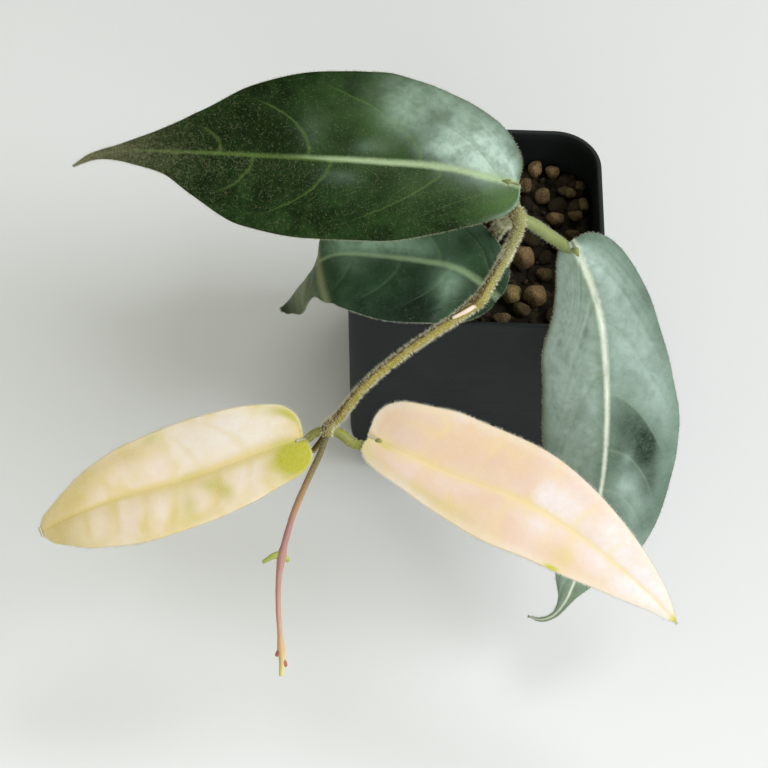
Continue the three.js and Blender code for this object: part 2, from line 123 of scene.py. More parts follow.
# Each row of a route is x, y, z and the radius there.
STEM_ROUTE = (
    (3.6, 0, 41.5, 2.1), (3.6, 0, 58, 2), (3.6, 0, 69, 1.9), (4.1, -4.8, 78, 1.9),
    (4.6, -11, 89, 1.8), (5.4, -18, 101, 1.8), (6.6, -27, 115, 1.8), (7.9, -33, 124, 2.2),
    (8.4, -36, 123, 1.6), (6.4, -41, 120, 1.4), (3.8, -46.2, 118.3, 1.3), (0.6, -51.8, 116.2, 1.4),
    (-2, -55.8, 115, 1.95), (-4.4, -57.6, 114.2, 1.55), (-8.4, -60.4, 112.7, 1.25),
    (-19.2, -67.3, 109.1, 1.2), (-31.3, -76.5, 104, 1.25), (-38, -83.5, 99, 1.35),
    (-40.6, -85.6, 97.6, 1.6), (-41, -87.7, 96.1, 1.4),
)
SHOOT_ROUTE = (
    (-40.7, -87, 96.6, 0.9), (-42.2, -91.1, 93.7, 0.85), (-45.1, -96.5, 89.5, 0.85),
    (-48.7, -103.7, 83.8, 0.85), (-51.1, -110.6, 77.9, 0.9), (-51.6, -112.6, 76.2, 1.25),
    (-52.2, -116.9, 72.8, 0.8), (-52.2, -122.7, 68.1, 0.7), (-51.5, -129, 62.6, 0.7),
    (-51.1, -131.8, 60, 1.1), (-50.8, -134.2, 57.8, 0.8), (-50.9, -137.2, 55.1, 0.6),
)
SPUR_ROUTE = ((-40.9, -86.6, 96.4, 0.8), (-42.6, -87.9, 93.8, 0.65), (-44.4, -89.2, 91.2, 0.75))
SHEATH_ROUTE = ((-2.1, -57.2, 115.7, 0.55), (-4.9, -59.2, 115.3, 0.6), (-8.6, -60.9, 114.2, 0.4))
SCALE_ROUTES = (
    ((-51.4, -112.2, 76.6, 0.9), (-53.6, -112.9, 76.4, 0.9), (-56.6, -114.4, 75.4, 0.45)),
    ((-51.6, -112.4, 76.4, 0.9), (-50.6, -112.9, 75.6, 0.8), (-49.9, -113.4, 74.6, 0.45)),
)
BUD_ROUTES = (
    ((-51.1, -131.9, 60, 0.9), (-51.8, -132.7, 59.4, 0.8), (-52.4, -133.3, 58.8, 0.45)),
    ((-50.9, -133.8, 58, 0.8), (-50, -134.6, 57.4, 0.7), (-49.6, -135.3, 56.8, 0.4)),
)

# Hairs stand denser in a ring at each node, given by its share of the stem.
NODE_SHARES = (0.44, 0.6, 0.985)
NODE_RING = (-0.015, 0.012)
NODE_HAIRS = 450
FOOT_HAIRS = 900
MARGIN_HAIRS = 2600
# The smallest and largest radius of a hair.
STEM_HAIR = (0.045, 0.075)
MARGIN_HAIR = (0.035, 0.06)
FACE_HAIR = (0.014, 0.026)

# A blade's grid, and how much its points crowd towards the rib and the base.
BLADE_COLUMNS = 72
BLADE_ROWS = 150
CROWD_RIB = 1.2
CROWD_BASE = 1.25
# The rounding at the two ends of a blade, as shares of its rib.
BASE_ROUND = 0.1
BASE_NARROW = 0.02
BASE_FULLNESS = 3
TIP_ROUND = 0.03
TIP_NARROW = 0.5
TIP_FULLNESS = 2
NOTCH = 0.4
NOTCH_RUN = 0.008
KEEL_DEPTH = 1.1
KEEL_WIDTH = 0.08

# A leaf's rib, face, edge, lobe, cup and stalk are as in the solids. left and right are the
# shares of the rib where side veins leave it, and sweep how far those of each half bend to
# the tip. The four tones are soft patches of colour. The first is painted sheen and light: a
# pale haze that stands in for the lamps' reflection on the mature leaves and for extra light on
# the new ones. deep is a darker colour, lively a yellow green, partly painted sheen on the upper
# leaf, and warm a tan. A patch is its share, its place across, its two radii and its strength.
# One that stops at side veins adds the numbers of the two veins.
LEAVES = {
    "leaf_top": {
        "rib": (
            (5.9, -25.8, 128.8), (-12, -23.4, 131.2), (-30, -23.2, 132.4), (-55, -23, 133),
            (-80, -22, 132.5), (-97, -21.7, 131.8), (-106.2, -22.6, 130.4), (-110.8, -24.8, 128.8),
        ),
        "face": (0, -0.3, 1),
        "edge": (
            (0, 9.8, 10.2, -5, 0), (0.05, 12, 14.6, -5, 0), (0.15, 18.4, 21.5, -5, 0),
            (0.3, 22.1, 26.5, -5, 0), (0.45, 22.4, 25.5, -5, 0), (0.6, 19.8, 20.6, -5, 0),
            (0.72, 12, 11.8, -5, 0), (0.79, 6.3, 7, -5, 0), (0.85, 4.2, 3.8, -5, 0),
            (0.92, 1.9, 1.3, -5, 0), (1, 0.5, 0.5, -5, 0),
        ),
        "lobe": (5, 4),
        "cup": 0.1,
        "stalk": (
            (7.4, -32.6, 123.6, 2), (6.9, -30.4, 124.6, 1.9), (6, -27.6, 126.2, 1.7),
            (4.2, -25.8, 127, 1.3),
        ),
        "left": (-0.02, 0.155, 0.41, 0.585, 0.76, 0.92),
        "right": (0.03, 0.205, 0.46, 0.66, 0.84),
        "sweep": (0.55, 0.58),
        "painted_sheen": (
            (0.03, 0.35, 0.08, 0.45, 1.2, -9, 1.2), (0.12, 0.3, 0.07, 0.3, 0.75, -9, 1.1),
            (0.14, 0.85, 0.12, 0.3, 0.35, -9, 1.3), (0.26, 0.5, 0.04, 0.2, 0.25, -9, 2.1),
            (0.22, 0.7, 0.08, 0.3, 0.25), (0.46, 0.3, 0.03, 0.18, 0.1), (0.17, 0.2, 0.05, 0.1, 0.25),
            (0.33, 0.15, 0.05, 0.08, 0.15), (0.39, -0.24, 0.05, 0.1, 0.1), (0.0, -0.98, 0.05, 0.06, 0.5),
        ),
        "deep": (
            (0.375, 0.2, 0.035, 0.15, 0.7), (0.175, 0.65, 0.03, 0.14, 0.35), (0.3, -0.25, 0.04, 0.15, 0.8),
            (0.55, 0.3, 0.1, 0.35, 0.7), (0.68, 0.45, 0.13, 0.5, 0.8), (0.5, -0.3, 0.07, 0.3, 0.7),
        ),
        "lively": (
            (0.02, -0.4, 0.06, 0.5, 0.7), (0.01, -0.8, 0.05, 0.3, 0.6), (0.2, -0.3, 0.12, 0.3, 0.3),
            (0.36, 0.0, 0.12, 0.35, 0.15), (0.29, 0.4, 0.09, 0.35, 0.45), (0.2, 0.8, 0.12, 0.3, 0.4),
            (0.44, 0.4, 0.04, 0.25, 0.3),
        ),
        "warm": ((0.93, 0, 0.12, 2, 0.8),),
    },
    "leaf_right": {
        "rib": (
            (24.6, -35.2, 113.2), (28, -40.5, 109), (32, -49, 102), (34.5, -59.7, 91),
            (35.7, -70, 78), (35.5, -80, 64.5), (33, -91, 50), (29.3, -98.6, 39.8),
            (27.3, -101.6, 35.1), (24.5, -103.7, 31.5), (20.9, -104.5, 30), (17.7, -103.6, 29.9),
        ),
        "face": (0.1, -0.75, 0.65),
        "edge": (
            (0, 9.2, 6.6, -12, -38), (0.06, 12, 9.4, -12, -38), (0.15, 15, 14.8, -12, -38),
            (0.3, 19, 20, -12, -38), (0.45, 22, 20, -12, -38), (0.6, 20.4, 18, -12, -38),
            (0.72, 16.8, 14, -12, -32), (0.78, 11, 9.2, -12, -27), (0.84, 5.4, 5.7, -12, -22),
            (0.89, 1.9, 2.4, -12, -18), (0.94, 1, 0.9, -12, -15), (1, 0.6, 0.6, -15, -15),
        ),
        "lobe": (4, 3.6),
        "cup": 0.1,
        "stalk": (
            (8.6, -33.6, 123.4, 1.7), (13.1, -33.5, 120.2, 1.8), (17.5, -33.7, 116.2, 1.8),
            (21.5, -33.3, 112, 1.7), (25.2, -35.2, 110.3, 1.5),
        ),
        "left": (0.02, 0.19, 0.355, 0.49, 0.59, 0.72, 0.86),
        "right": (0.025, 0.125, 0.3, 0.485, 0.66, 0.82),
        "sweep": (0.5, 0.9),
        "painted_sheen": (
            (0.3, 0.6, 0.45, 0.45, 0.95), (0.18, 0.95, 0.2, 0.25, 0.5), (0.32, 0.2, 0.3, 0.15, 0.5),
            (0.03, -0.22, 0.05, 0.2, 0.7), (0.1, -0.35, 0.14, 0.35, 0.55),
            (0.28, -0.38, 0.14, 0.4, 0.5, -9, 2), (0.57, -0.33, 0.035, 0.16, 0.65),
            (0.62, -0.6, 0.05, 0.25, 0.35), (0.51, -0.3, 0.015, 0.06, 0.4), (0.76, 0, 0.1, 2, 0.45),
            (0.14, 0.6, 0.12, 0.3, 0.35), (0.36, -0.75, 0.12, 0.2, 0.4),
        ),
        "deep": (
            (0.43, -0.36, 0.06, 0.22, 0.6, 2, 9), (0.49, -0.56, 0.05, 0.17, 1.3, 2, 9),
            (0.57, -0.68, 0.04, 0.12, 0.6, 2, 9), (0.46, -0.15, 0.08, 0.14, 0.25, 2, 9),
            (0.66, -0.8, 0.05, 0.2, 0.3), (0.16, -0.95, 0.06, 0.12, 0.25), (0.2, 0.3, 0.012, 0.06, 0.4),
            (0.23, 0.75, 0.012, 0.05, 0.4),
        ),
        "lively": (
            (0.88, 0, 0.1, 2, 0.5), (0.1, 0.3, 0.12, 0.25, 0.6), (0.25, 0.15, 0.2, 0.12, 0.6),
            (0.02, 0.1, 0.04, 0.5, 0.5), (0.47, 0.45, 0.12, 0.4, 0.5),
        ),
        "warm": ((0.35, 1.02, 0.5, 0.07, 1), (0.97, 0.3, 0.12, 2, 0.5)),
    },
    "leaf_low": {
        "rib": (
            (4.8, -31, 85.2), (-0.5, -28, 88.4), (-7, -25.7, 91), (-22.7, -24.6, 93),
            (-36, -24, 93.6), (-42.3, -24.2, 92.6), (-46.2, -24.6, 89.8), (-48.6, -24.4, 85),
            (-51.4, -24, 78.6), (-54.3, -24.6, 72.8), (-56.9, -25.5, 69.3),
        ),
        "face": (-0.3, -0.16, 1),
        "edge": (
            (0, 9, 6, -2, 0), (0.06, 13.5, 10, -2, 0), (0.2, 17.8, 16.5, -3, 0),
            (0.4, 19.4, 18.5, -4, 0), (0.58, 17.1, 17, -4, 0), (0.68, 14.2, 15, -4, -15),
            (0.775, 8.2, 10.2, -2, -65), (0.84, 9, 7.5, 1, -70), (0.9, 8.4, 5.4, 5, -75),
            (0.95, 5.4, 3.8, 8, -70), (1, 3.2, 2, 10, -60),
        ),
        "lobe": (1.8, 1.8),
        "cup": 0.1,
        "stalk": (
            (3.9, -6.5, 77.5, 1.6), (3.6, -13, 78.6, 1.5), (3.8, -22, 80.8, 1.5),
            (4.2, -29.6, 83.8, 1.5),
        ),
        "left": (0.0, 0.19, 0.385, 0.56, 0.74, 0.9),
        "right": (0.03, 0.24, 0.45, 0.64, 0.82),
        "sweep": (0.5, 0.4),
        "painted_sheen": (
            (0.19, -0.3, 0.06, 0.3, 0.65), (0.36, 0.22, 0.09, 0.2, 0.6), (0.5, 0.24, 0.08, 0.2, 1),
            (0.6, 0.2, 0.06, 0.25, 0.6), (0.56, -0.2, 0.05, 0.2, 0.25),
        ),
        "deep": (
            (0.05, 0, 0.08, 0.8, 0.5), (0.3, -0.9, 0.12, 0.25, 0.9), (0.32, -0.55, 0.05, 0.3, 0.8),
            (0.5, -0.85, 0.15, 0.2, 0.4), (1, -0.3, 0.05, 2, 1.2),
        ),
        "lively": ((0.1, 0.2, 0.1, 0.4, 0.5), (0.62, 0, 0.08, 0.5, 0.5)),
        "warm": ((0.695, 0, 0.015, 2, 1), (0.84, 0, 0.1, 2, 0.65)),
    },
    "leaf_pale_left": {
        "rib": (
            (-48.6, -88.4, 94.7), (-57, -90.1, 92), (-75.5, -94.7, 85.3), (-95, -98, 79.4),
            (-110.3, -101.6, 73.2), (-117.1, -103.6, 69.3),
        ),
        "face": (0, -0.3, 1),
        "edge": (
            (0, 8.4, 9.2, 0, 0), (0.07, 9.6, 11.6, 0, 0), (0.2, 11.9, 14.6, 0, 0),
            (0.4, 13, 16, 0, 0), (0.6, 13.9, 14.2, 0, 0), (0.8, 11.1, 9.8, 0, 0),
            (0.93, 6.6, 5, 0, 0), (1, 3, 2.8, 0, 0),
        ),
        "lobe": (4.6, 3.3),
        "cup": 0.08,
        "stalk": (
            (-41.5, -86, 97, 1.2), (-44.1, -86.7, 96, 1.3), (-46.6, -87.8, 93.9, 1.1),
            (-49, -88.4, 93.1, 0.8),
        ),
        "left": (-0.1, 0.19, 0.31, 0.47, 0.585, 0.7, 0.82, 0.94),
        "right": (-0.1, 0.18, 0.365, 0.65, 0.82, 0.94),
        "sweep": (0.1, 0.25),
        "painted_sheen": (
            (0.13, 0.45, 0.1, 0.45, 1.0), (0.3, 0.55, 0.12, 0.5, 0.9), (0.18, -0.4, 0.06, 0.35, 0.7),
            (0.56, 0.35, 0.06, 0.3, 0.4), (0.42, 0.5, 0.06, 0.3, 0.5), (0.52, -0.4, 0.05, 0.3, 0.6),
        ),
        "deep": ((0.2, 0.1, 0.12, 0.12, 0.4), (0.6, 0.5, 0.06, 0.2, 0.5)),
        "lively": (
            (0.03, -0.5, 0.07, 0.5, 2), (0.04, 0.85, 0.05, 0.14, 0.9), (0.34, -0.3, 0.03, 0.2, 0.5),
            (0.43, -0.55, 0.03, 0.3, 0.5), (0.29, -0.55, 0.025, 0.2, 0.6), (0.4, 0.05, 0.04, 0.1, 0.3),
            (0.53, 0.9, 0.04, 0.12, 0.5),
        ),
        "warm": (
            (0.31, -0.45, 0.02, 0.25, 0.7), (0.72, 0.85, 0.13, 0.2, 0.8), (0.6, 0.75, 0.05, 0.2, 0.5),
            (0.99, 0.1, 0.12, 2, 0.9), (0.85, 0.4, 0.1, 0.4, 0.4), (0.9, 0, 0.12, 2, 0.5),
            (0.55, -0.15, 0.3, 0.15, 0.3), (0.45, -0.9, 0.3, 0.15, 0.3),
        ),
    },
    "leaf_pale_right": {
        "rib": (
            (-27.2, -87.8, 95.4), (-20, -91.2, 94.8), (-7.7, -95.6, 92.6), (13.5, -101.7, 88.3),
            (31, -110, 81.3), (45, -118.7, 74), (53.1, -124.4, 68.2),
        ),
        "face": (0, -0.3, 1),
        "edge": (
            (0, 12.2, 6.8, 0, 0), (0.07, 13.6, 7.8, 0, 0), (0.2, 16.4, 10.9, 0, 0),
            (0.4, 15.5, 14.4, 0, 0), (0.6, 12.5, 12.4, 0, 0), (0.8, 7.7, 7.5, 0, 0),
            (0.93, 3.6, 2.8, 0, 0), (1, 0.5, 0.5, 0, 0),
        ),
        "lobe": (5.3, 4.3),
        "cup": 0.08,
        "stalk": (
            (-39.7, -85.5, 96.4, 1.5), (-37, -86.3, 95.4, 1.5), (-34.4, -87.7, 93.8, 1.5),
            (-31.6, -88.3, 93.3, 1.4), (-27.4, -87.9, 93.9, 1.2),
        ),
        "left": (-0.1, 0.13, 0.295, 0.455, 0.6, 0.73, 0.92),
        "right": (-0.1, 0.2, 0.46, 0.62, 0.8, 0.93),
        "sweep": (0.12, 0.2),
        "painted_sheen": (
            (0.5, -0.3, 0.08, 0.3, 0.9, 3, 9), (0.6, -0.3, 0.07, 0.4, 0.5, 3, 9),
            (0.72, -0.5, 0.06, 0.6, 1.1, 4, 9), (0.86, -0.2, 0.1, 0.8, 1.1, 4, 9),
            (0.96, 0, 0.08, 2, 0.8), (0.52, 0.25, 0.06, 0.3, 0.5, 2, 9),
            (0.72, 0.3, 0.1, 0.3, 0.6, 3, 9), (0.84, 0.6, 0.08, 0.5, 0.8, 3, 9),
        ),
        "deep": (
            (0.2, -0.4, 0.18, 0.4, 0.8, -1, 3), (0.36, 0.5, 0.12, 0.3, 0.5, -1, 2),
            (0.38, -0.6, 0.08, 0.3, 0.6, 2, 3), (0.52, 0.6, 0.06, 0.2, 0.4),
        ),
        "lively": (
            (0.61, 0.95, 0.02, 0.05, 1.5), (0.2, 0.75, 0.12, 0.14, 0.35), (0.995, 0, 0.015, 2, 1.2),
            (0.02, 0.1, 0.03, 0.12, 0.6), (0.0, 0.9, 0.05, 0.3, 0.4),
        ),
        "warm": ((0.62, 0.62, 0.04, 0.25, 0.8),),
    },
}
TONES = ("painted_sheen", "deep", "lively", "warm")
# How softly a patch stops at a vein, as a share of the pitch.
VEIN_STOP = 0.08


def amount(name, description, default):
    kind = IntProperty if isinstance(default, int) else FloatProperty
    return kind(name=name, description=description, default=default)


def colour(name, description, default):
    return FloatVectorProperty(name=name, description=description, subtype="COLOR", default=default)


class HoyaPotSettings(bpy.types.PropertyGroup):
    width: amount("Width", "Outer width at the rim, mm", 75.0)
    height: amount("Height", "Height, mm", 80.0)
    corner: amount("Corner", "Radius of the upright corners, mm", 14.0)
    wall: amount("Wall", "Wall thickness, mm", 1.3)
    lip: amount("Lip", "Thickness of the rim, mm", 1.5)
    colour: colour("Colour", "Colour of the plastic", (0.013, 0.017, 0.018))


class HoyaSubstrateSettings(bpy.types.PropertyGroup):
    fines: amount("Fines", "Number of small crumbs between the granules", 420)
    tan: colour("Tan", "Colour of a dry granule", (0.31, 0.235, 0.10))
    brown: colour("Brown", "Colour of a dark granule", (0.012, 0.009, 0.006))


class HoyaStemSettings(bpy.types.PropertyGroup):
    hairs: amount("Hairs", "Number of hairs on the stem", 6500)
    hair_length: amount("Hair length", "Longest hair, mm", 1.3)
    gold: colour("Gold", "Lit side of the stem", (0.38, 0.31, 0.055))
    # The brown side is partly the stem's own brown, partly painted shade.
    brown: colour("Brown", "Woody side of the stem", (0.12, 0.065, 0.014))
    young: colour("Young", "Young shoot", (0.40, 0.20, 0.19))


class HoyaLeafSettings(bpy.types.PropertyGroup):
    thickness: amount("Thickness", "Thickness of a blade, mm", 1.0)
    margin: amount("Margin", "Thickness at the margin, mm", 0.4)
    vein_depth: amount("Vein depth", "Depth of the side veins, mm", 0.15)
    quilt: amount("Quilting", "Rise of the blade between veins, mm", 0.15)
    green: colour("Green", "Upper leaf, darkest green", (0.004, 0.012, 0.003))
    light: colour("Light green", "Upper leaf, lighter parts", (0.015, 0.040, 0.010))
    blush: colour("Blush", "New leaf", (0.95, 0.76, 0.66))
    net: colour("Net", "Veins of a new leaf", (0.80, 0.64, 0.22))


class HoyaStageSettings(bpy.types.PropertyGroup):
    floor: colour("Floor", "Colour of the floor", (0.91, 0.92, 0.97))
    key: amount("Key", "Power of the light at the right, W", 26.6)
    overhead: amount("Overhead", "Power of the light above, W", 3.0)
    front: amount("Front", "Power of the low light in front, W", 3.0)
    sky: amount("Sky", "Strength of the light from all round", 0.365)


def clamp(value, low=0.0, high=1.0):
    return max(low, min(high, value))


def lerp(first, second, share):
    return first + (second - first) * share


def draws(seed):
    """The solids' own repeatable source of numbers from 0 to 1."""
    state = seed
    while True:
        state = (state * 1664525 + 1013904223) % 2 ** 32
        yield state / 2 ** 32


class Route:
    """A smooth line through rows of x, y, z and, where there is a fourth number, a radius."""

    STEPS = 24

    def __init__(self, rows):
        knots = [Vector(row[:3]) for row in rows]
        padded = [2 * knots[0] - knots[1], *knots, 2 * knots[-1] - knots[-2]]
        self.spots = []
        self.radii = []
        for place in range(len(knots) - 1):
            before, start, stop, after = padded[place:place + 4]
            first = math.sqrt((start - before).length)
            middle = math.sqrt((stop - start).length)
            last = math.sqrt((after - stop).length)
            leave = (start - before) / first - (stop - before) / (first + middle) + (stop - start) / middle
            reach = (stop - start) / middle - (after - start) / (middle + last) + (after - stop) / last
            leave *= middle
            reach *= middle
            for step in range(self.STEPS + (place == len(knots) - 2)):
                t = step / self.STEPS
                self.spots.append(
                    start + leave * t
                    + (3 * (stop - start) - 2 * leave - reach) * t ** 2
                    + (2 * (start - stop) + leave + reach) * t ** 3
                )
                self.radii.append(lerp(rows[place][-1], rows[place + 1][-1], t))
        self.marks = [0.0]
        for one, two in zip(self.spots, self.spots[1:]):
            self.marks.append(self.marks[-1] + (two - one).length)
        self.length = self.marks[-1]

    def _find(self, share):
        mark = clamp(share) * self.length
        place = clamp(bisect_right(self.marks, mark) - 1, 0, len(self.marks) - 2)
        return place, (mark - self.marks[place]) / (self.marks[place + 1] - self.marks[place])

    def at(self, share):
        place, rest = self._find(share)
        return self.spots[place].lerp(self.spots[place + 1], rest)

    def radius(self, share):
        place, rest = self._find(share)
        return lerp(self.radii[place], self.radii[place + 1], rest)

    def along(self, share):
        step = 0.004
        return (self.at(share + step) - self.at(share - step)).normalized()

    def frames(self, steps):
        """Spot, direction and a sideways direction that never twists, at even shares."""
        side = self.along(0).orthogonal().normalized()
        rows = []
        for step in range(steps + 1):
            along = self.along(step / steps)
            side = (side - along * side.dot(along)).normalized()
            rows.append((self.at(step / steps), along, side.copy()))
        return rows


def eased(rows, column, share):
    """Reads one column of an edge table at any share of the rib, without overshoot."""
    row = 0
    while row < len(rows) - 2 and share > rows[row + 1][0]:
        row += 1

    def slope(k):
        return (rows[k + 1][column] - rows[k][column]) / (rows[k + 1][0] - rows[k][0])

    def bend(k):
        if k == 0:
            return slope(0)
        if k == len(rows) - 1:
            return slope(k - 1)
        before, after = slope(k - 1), slope(k)
        return 0 if before * after <= 0 else 2 * before * after / (before + after)

    span = rows[row + 1][0] - rows[row][0]
    t = clamp((share - rows[row][0]) / span)
    return (
        (2 * t ** 3 - 3 * t ** 2 + 1) * rows[row][column]
        + (t ** 3 - 2 * t ** 2 + t) * span * bend(row)
        + (3 * t ** 2 - 2 * t ** 3) * rows[row + 1][column]
        + (t ** 3 - t ** 2) * span * bend(row + 1)
    )


class Blade:
    """A leaf's blade, whose points are found by their share of the rib and their place across."""

    def __init__(self, leaf):
        self.leaf = leaf
        self.rib = Route(leaf["rib"])
        self.face = Vector(leaf["face"]).normalized()

    def width(self, share, across):
        side = 1 if across < 0 else 2
        rounded = lambda distance, power: math.sqrt(1 - (1 - clamp(distance)) ** power)
        return (
            eased(self.leaf["edge"], side, share)
            * max(rounded(share / BASE_ROUND, BASE_FULLNESS), BASE_NARROW)
            * max(rounded((1 - share) / TIP_ROUND, TIP_FULLNESS), TIP_NARROW)
        )

    def place(self, share, across):
        reach = abs(across)
        away = 1 if across < 0 else -1
        along = self.rib.along(share)
        left = self.face.cross(along).normalized()
        up = along.cross(left)
        lean = math.radians(eased(self.leaf["edge"], 3 if across < 0 else 4, share))
        width = self.width(share, across)
        outward = left * away * math.cos(lean) + up * math.sin(lean)
        bulge = self.leaf["cup"] * width * 2 * (reach - reach ** 2)
        behind = self.leaf["lobe"][0 if across < 0 else 1] * math.exp(-(share / BASE_ROUND) ** 2)
        behind *= (1 - NOTCH * math.exp(-share / NOTCH_RUN)) * reach ** 1.5
        return self.rib.at(share) + outward * width * reach + up * bulge - along * behind

    def phase(self, share, across):
        """Counts the side veins, a whole number on each, and gives their pitch in millimetres."""
        marks = self.leaf["left" if across < 0 else "right"]
        sweep = self.leaf["sweep"][0 if across < 0 else 1]
        swept = share - sweep * (1 - share) * abs(across) ** 2.2
        place = int(clamp(bisect_right(marks, swept) - 1, 0, len(marks) - 2))
        pitch = marks[place + 1] - marks[place]
        return place + (swept - marks[place]) / pitch, pitch * self.rib.length

    def tone(self, name, share, across, phase):
        """The strength of one of the four tones at a point."""
        total = 0
        for middle, side, long, wide, strength, *veins in self.leaf[name]:
            apart = ((share - middle) / long) ** 2 + ((across - side) / wide) ** 2
            if veins:
                strength *= clamp((phase - veins[0]) / VEIN_STOP + 0.5)
                strength *= clamp((veins[1] - phase) / VEIN_STOP + 0.5)
            total += strength * math.exp(-apart)
        return clamp(total)


def stamp(bm, shape, matrix):
    """Adds a copy of a small mesh to bm, at a place, and gives its points back."""
    rest = [vert.co.copy() for vert in shape.vertices]
    shape.transform(matrix)
    count = len(bm.verts)
    bm.from_mesh(shape)
    for vert, spot in zip(shape.vertices, rest):
        vert.co = spot
    bm.verts.ensure_lookup_table()
    return bm.verts[count:]


def template(build):
    """A small mesh made by one bmesh operator, to stamp many times."""
    bm = bmesh.new()
    build(bm)
    mesh = bpy.data.meshes.new("template")
    bm.to_mesh(mesh)
    bm.free()
    return mesh


def add_tube(bm, route, around, steps, shape=None, material=0):
    """A closed tube along a route. shape(share, turn) scales its radius, and turn runs from 0 to 1."""
    tube = bmesh.new()
    tube.loops.layers.uv.new("blade")
    bmesh.ops.create_grid(tube, x_segments=around, y_segments=steps, size=0.5, calc_uvs=True)
    rows = route.frames(steps)
    for vert in tube.verts:
        turn, share = vert.co.x + 0.5, vert.co.y + 0.5
        spot, along, side = rows[round(share * steps)]
        radius = route.radius(share) * (shape(share, turn) if shape else 1)
        way = Quaternion(along, -turn * math.tau) @ side
        vert.co = (spot + way * radius) * MM
    bmesh.ops.remove_doubles(tube, verts=tube.verts, dist=1e-7)
    bmesh.ops.holes_fill(tube, edges=[edge for edge in tube.edges if edge.is_boundary], sides=0)
    bmesh.ops.recalc_face_normals(tube, faces=tube.faces)
    for face in tube.faces:
        face.material_index = material
        face.smooth = True
    mesh = bpy.data.meshes.new("tube")
    tube.to_mesh(mesh)
    tube.free()
    bm.from_mesh(mesh)
    bpy.data.meshes.remove(mesh)


def flattened(amount):
    """A shape for a tube that is thinner one way, by twice the amount."""
    return lambda share, turn: 1 - amount + amount * math.cos(turn * math.tau * 2)


def publish(name, bm, materials, nodes=()):
    """Makes a piece of the object from bm, which then rides on the one body."""
    mesh = bpy.data.meshes.new(name)
    bm.to_mesh(mesh)
    bm.free()
    mesh.shade_smooth()
    for material in materials:
        mesh.materials.append(material)
    piece = bpy.data.objects.new(name, mesh)
    bpy.context.scene.collection.objects.link(piece)
    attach(piece, "root")
    if nodes:
        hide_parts(*nodes)
    return piece


class Shader:
    """Adds nodes to one tree. An input takes a number, a colour or another node's socket."""

    def __init__(self, tree):
        self.tree = tree

    def add(self, kind, inputs=None, **settings):
        node = self.tree.nodes.new("ShaderNode" + kind)
        for name, value in settings.items():
            setattr(node, name, value)
        for name, value in (inputs or {}).items():
            self.feed(node.inputs[name], value)
        return node

    def feed(self, socket, value):
        if isinstance(value, bpy.types.NodeSocket):
            self.tree.links.new(value, socket)
        elif socket.type == "RGBA":
            socket.default_value = (*value[:3], 1)
        else:
            socket.default_value = value

    def math(self, operation, *values, clamped=False):
        return self.add("Math", dict(enumerate(values)), operation=operation, use_clamp=clamped).outputs[0]

    def times(self, first, second, clamped=False):
        return self.math("MULTIPLY", first, second, clamped=clamped)

    def plus(self, first, second, clamped=False):
        return self.math("ADD", first, second, clamped=clamped)

    def scaled(self, value, factor, offset):
        return self.math("MULTIPLY_ADD", value, factor, offset)

    def mix(self, share, first, second):
        return self.add("Mix", {0: share, 6: first, 7: second}, data_type="RGBA").outputs[2]

    def layered(self, colour, *layers):
        """Lays more colours over a first one, each as strongly as its share says."""
        for share, over in layers:
            colour = self.mix(share, colour, over)
        return colour

    def fade(self, value, low, high, start=0.0, stop=1.0):
        inputs = {"Value": value, "From Min": low, "From Max": high, "To Min": start, "To Max": stop}
        return self.add("MapRange", inputs, interpolation_type="SMOOTHSTEP").outputs[0]

    def noise(self, place, scale, detail=2.0, roughness=0.5, distortion=0.0):
        inputs = {"Vector": place, "Scale": scale, "Detail": detail, "Roughness": roughness,
                  "Distortion": distortion}
        return self.add("TexNoise", inputs).outputs[0]

    def dots(self, place, scale):
        """The distance to the middle of the nearest of many cells."""
        return self.add("TexVoronoi", {"Vector": place, "Scale": scale}).outputs["Distance"]

    def place(self):
        return self.add("TexCoord").outputs["Object"]

    def stored(self, name):
        """A number that the mesh stores at each of its points."""
        return self.add("Attribute", attribute_name=name).outputs["Fac"]

    def parts(self, vector):
        return self.add("SeparateXYZ", {0: vector}).outputs

    def bump(self, height, strength, distance):
        inputs = {"Height": height, "Strength": strength, "Distance": distance * MM}
        return self.add("Bump", inputs).outputs[0]


def material(name, build):
    """A material whose build function adds nodes and returns what feeds the surface shader."""
    made = bpy.data.materials.new(name)
    made.use_nodes = True
    made.node_tree.nodes.clear()
    shader = Shader(made.node_tree)
    surface = shader.add("BsdfPrincipled", build(shader))
    output = shader.add("OutputMaterial")
    made.node_tree.links.new(surface.outputs[0], output.inputs[0])
    return made


def group(name, inputs, outputs, build):
    """A shader node group, made once, with build(shader, input sockets) giving its outputs."""
    found = bpy.data.node_groups.get(name)
    if found:
        return found
    tree = bpy.data.node_groups.new(name, "ShaderNodeTree")
    for label in inputs:
        kind = "NodeSocketVector" if label == "Vector" else "NodeSocketFloat"
        tree.interface.new_socket(label, in_out="INPUT", socket_type=kind)
    for label in outputs:
        tree.interface.new_socket(label, in_out="OUTPUT", socket_type="NodeSocketFloat")
    shader = Shader(tree)
    start = tree.nodes.new("NodeGroupInput")
    stop = tree.nodes.new("NodeGroupOutput")
    for socket, value in zip(stop.inputs, build(shader, start.outputs)):
        shader.feed(socket, value)
    return tree


def use_group(shader, tree, inputs):
    node = shader.tree.nodes.new("ShaderNodeGroup")
    node.node_tree = tree
    for name, value in inputs.items():
        shader.feed(node.inputs[name], value)
    return node.outputs[:]


def tinted(colour, share):
    return [share * part for part in colour]


def speckle(shader, place, size):
    """Fine grain and soft mottling, which most surfaces here have."""
    def build(shader, start):
        fine = shader.noise(start["Vector"], start["Size"], 3, 0.6)
        broad = shader.noise(start["Vector"], shader.times(start["Size"], 0.08), 2, 0.5, 0.4)
        return fine, broad
    tree = group("Speckle", ("Vector", "Size"), ("Fine", "Broad"), build)
    return use_group(shader, tree, {"Vector": place, "Size": size})


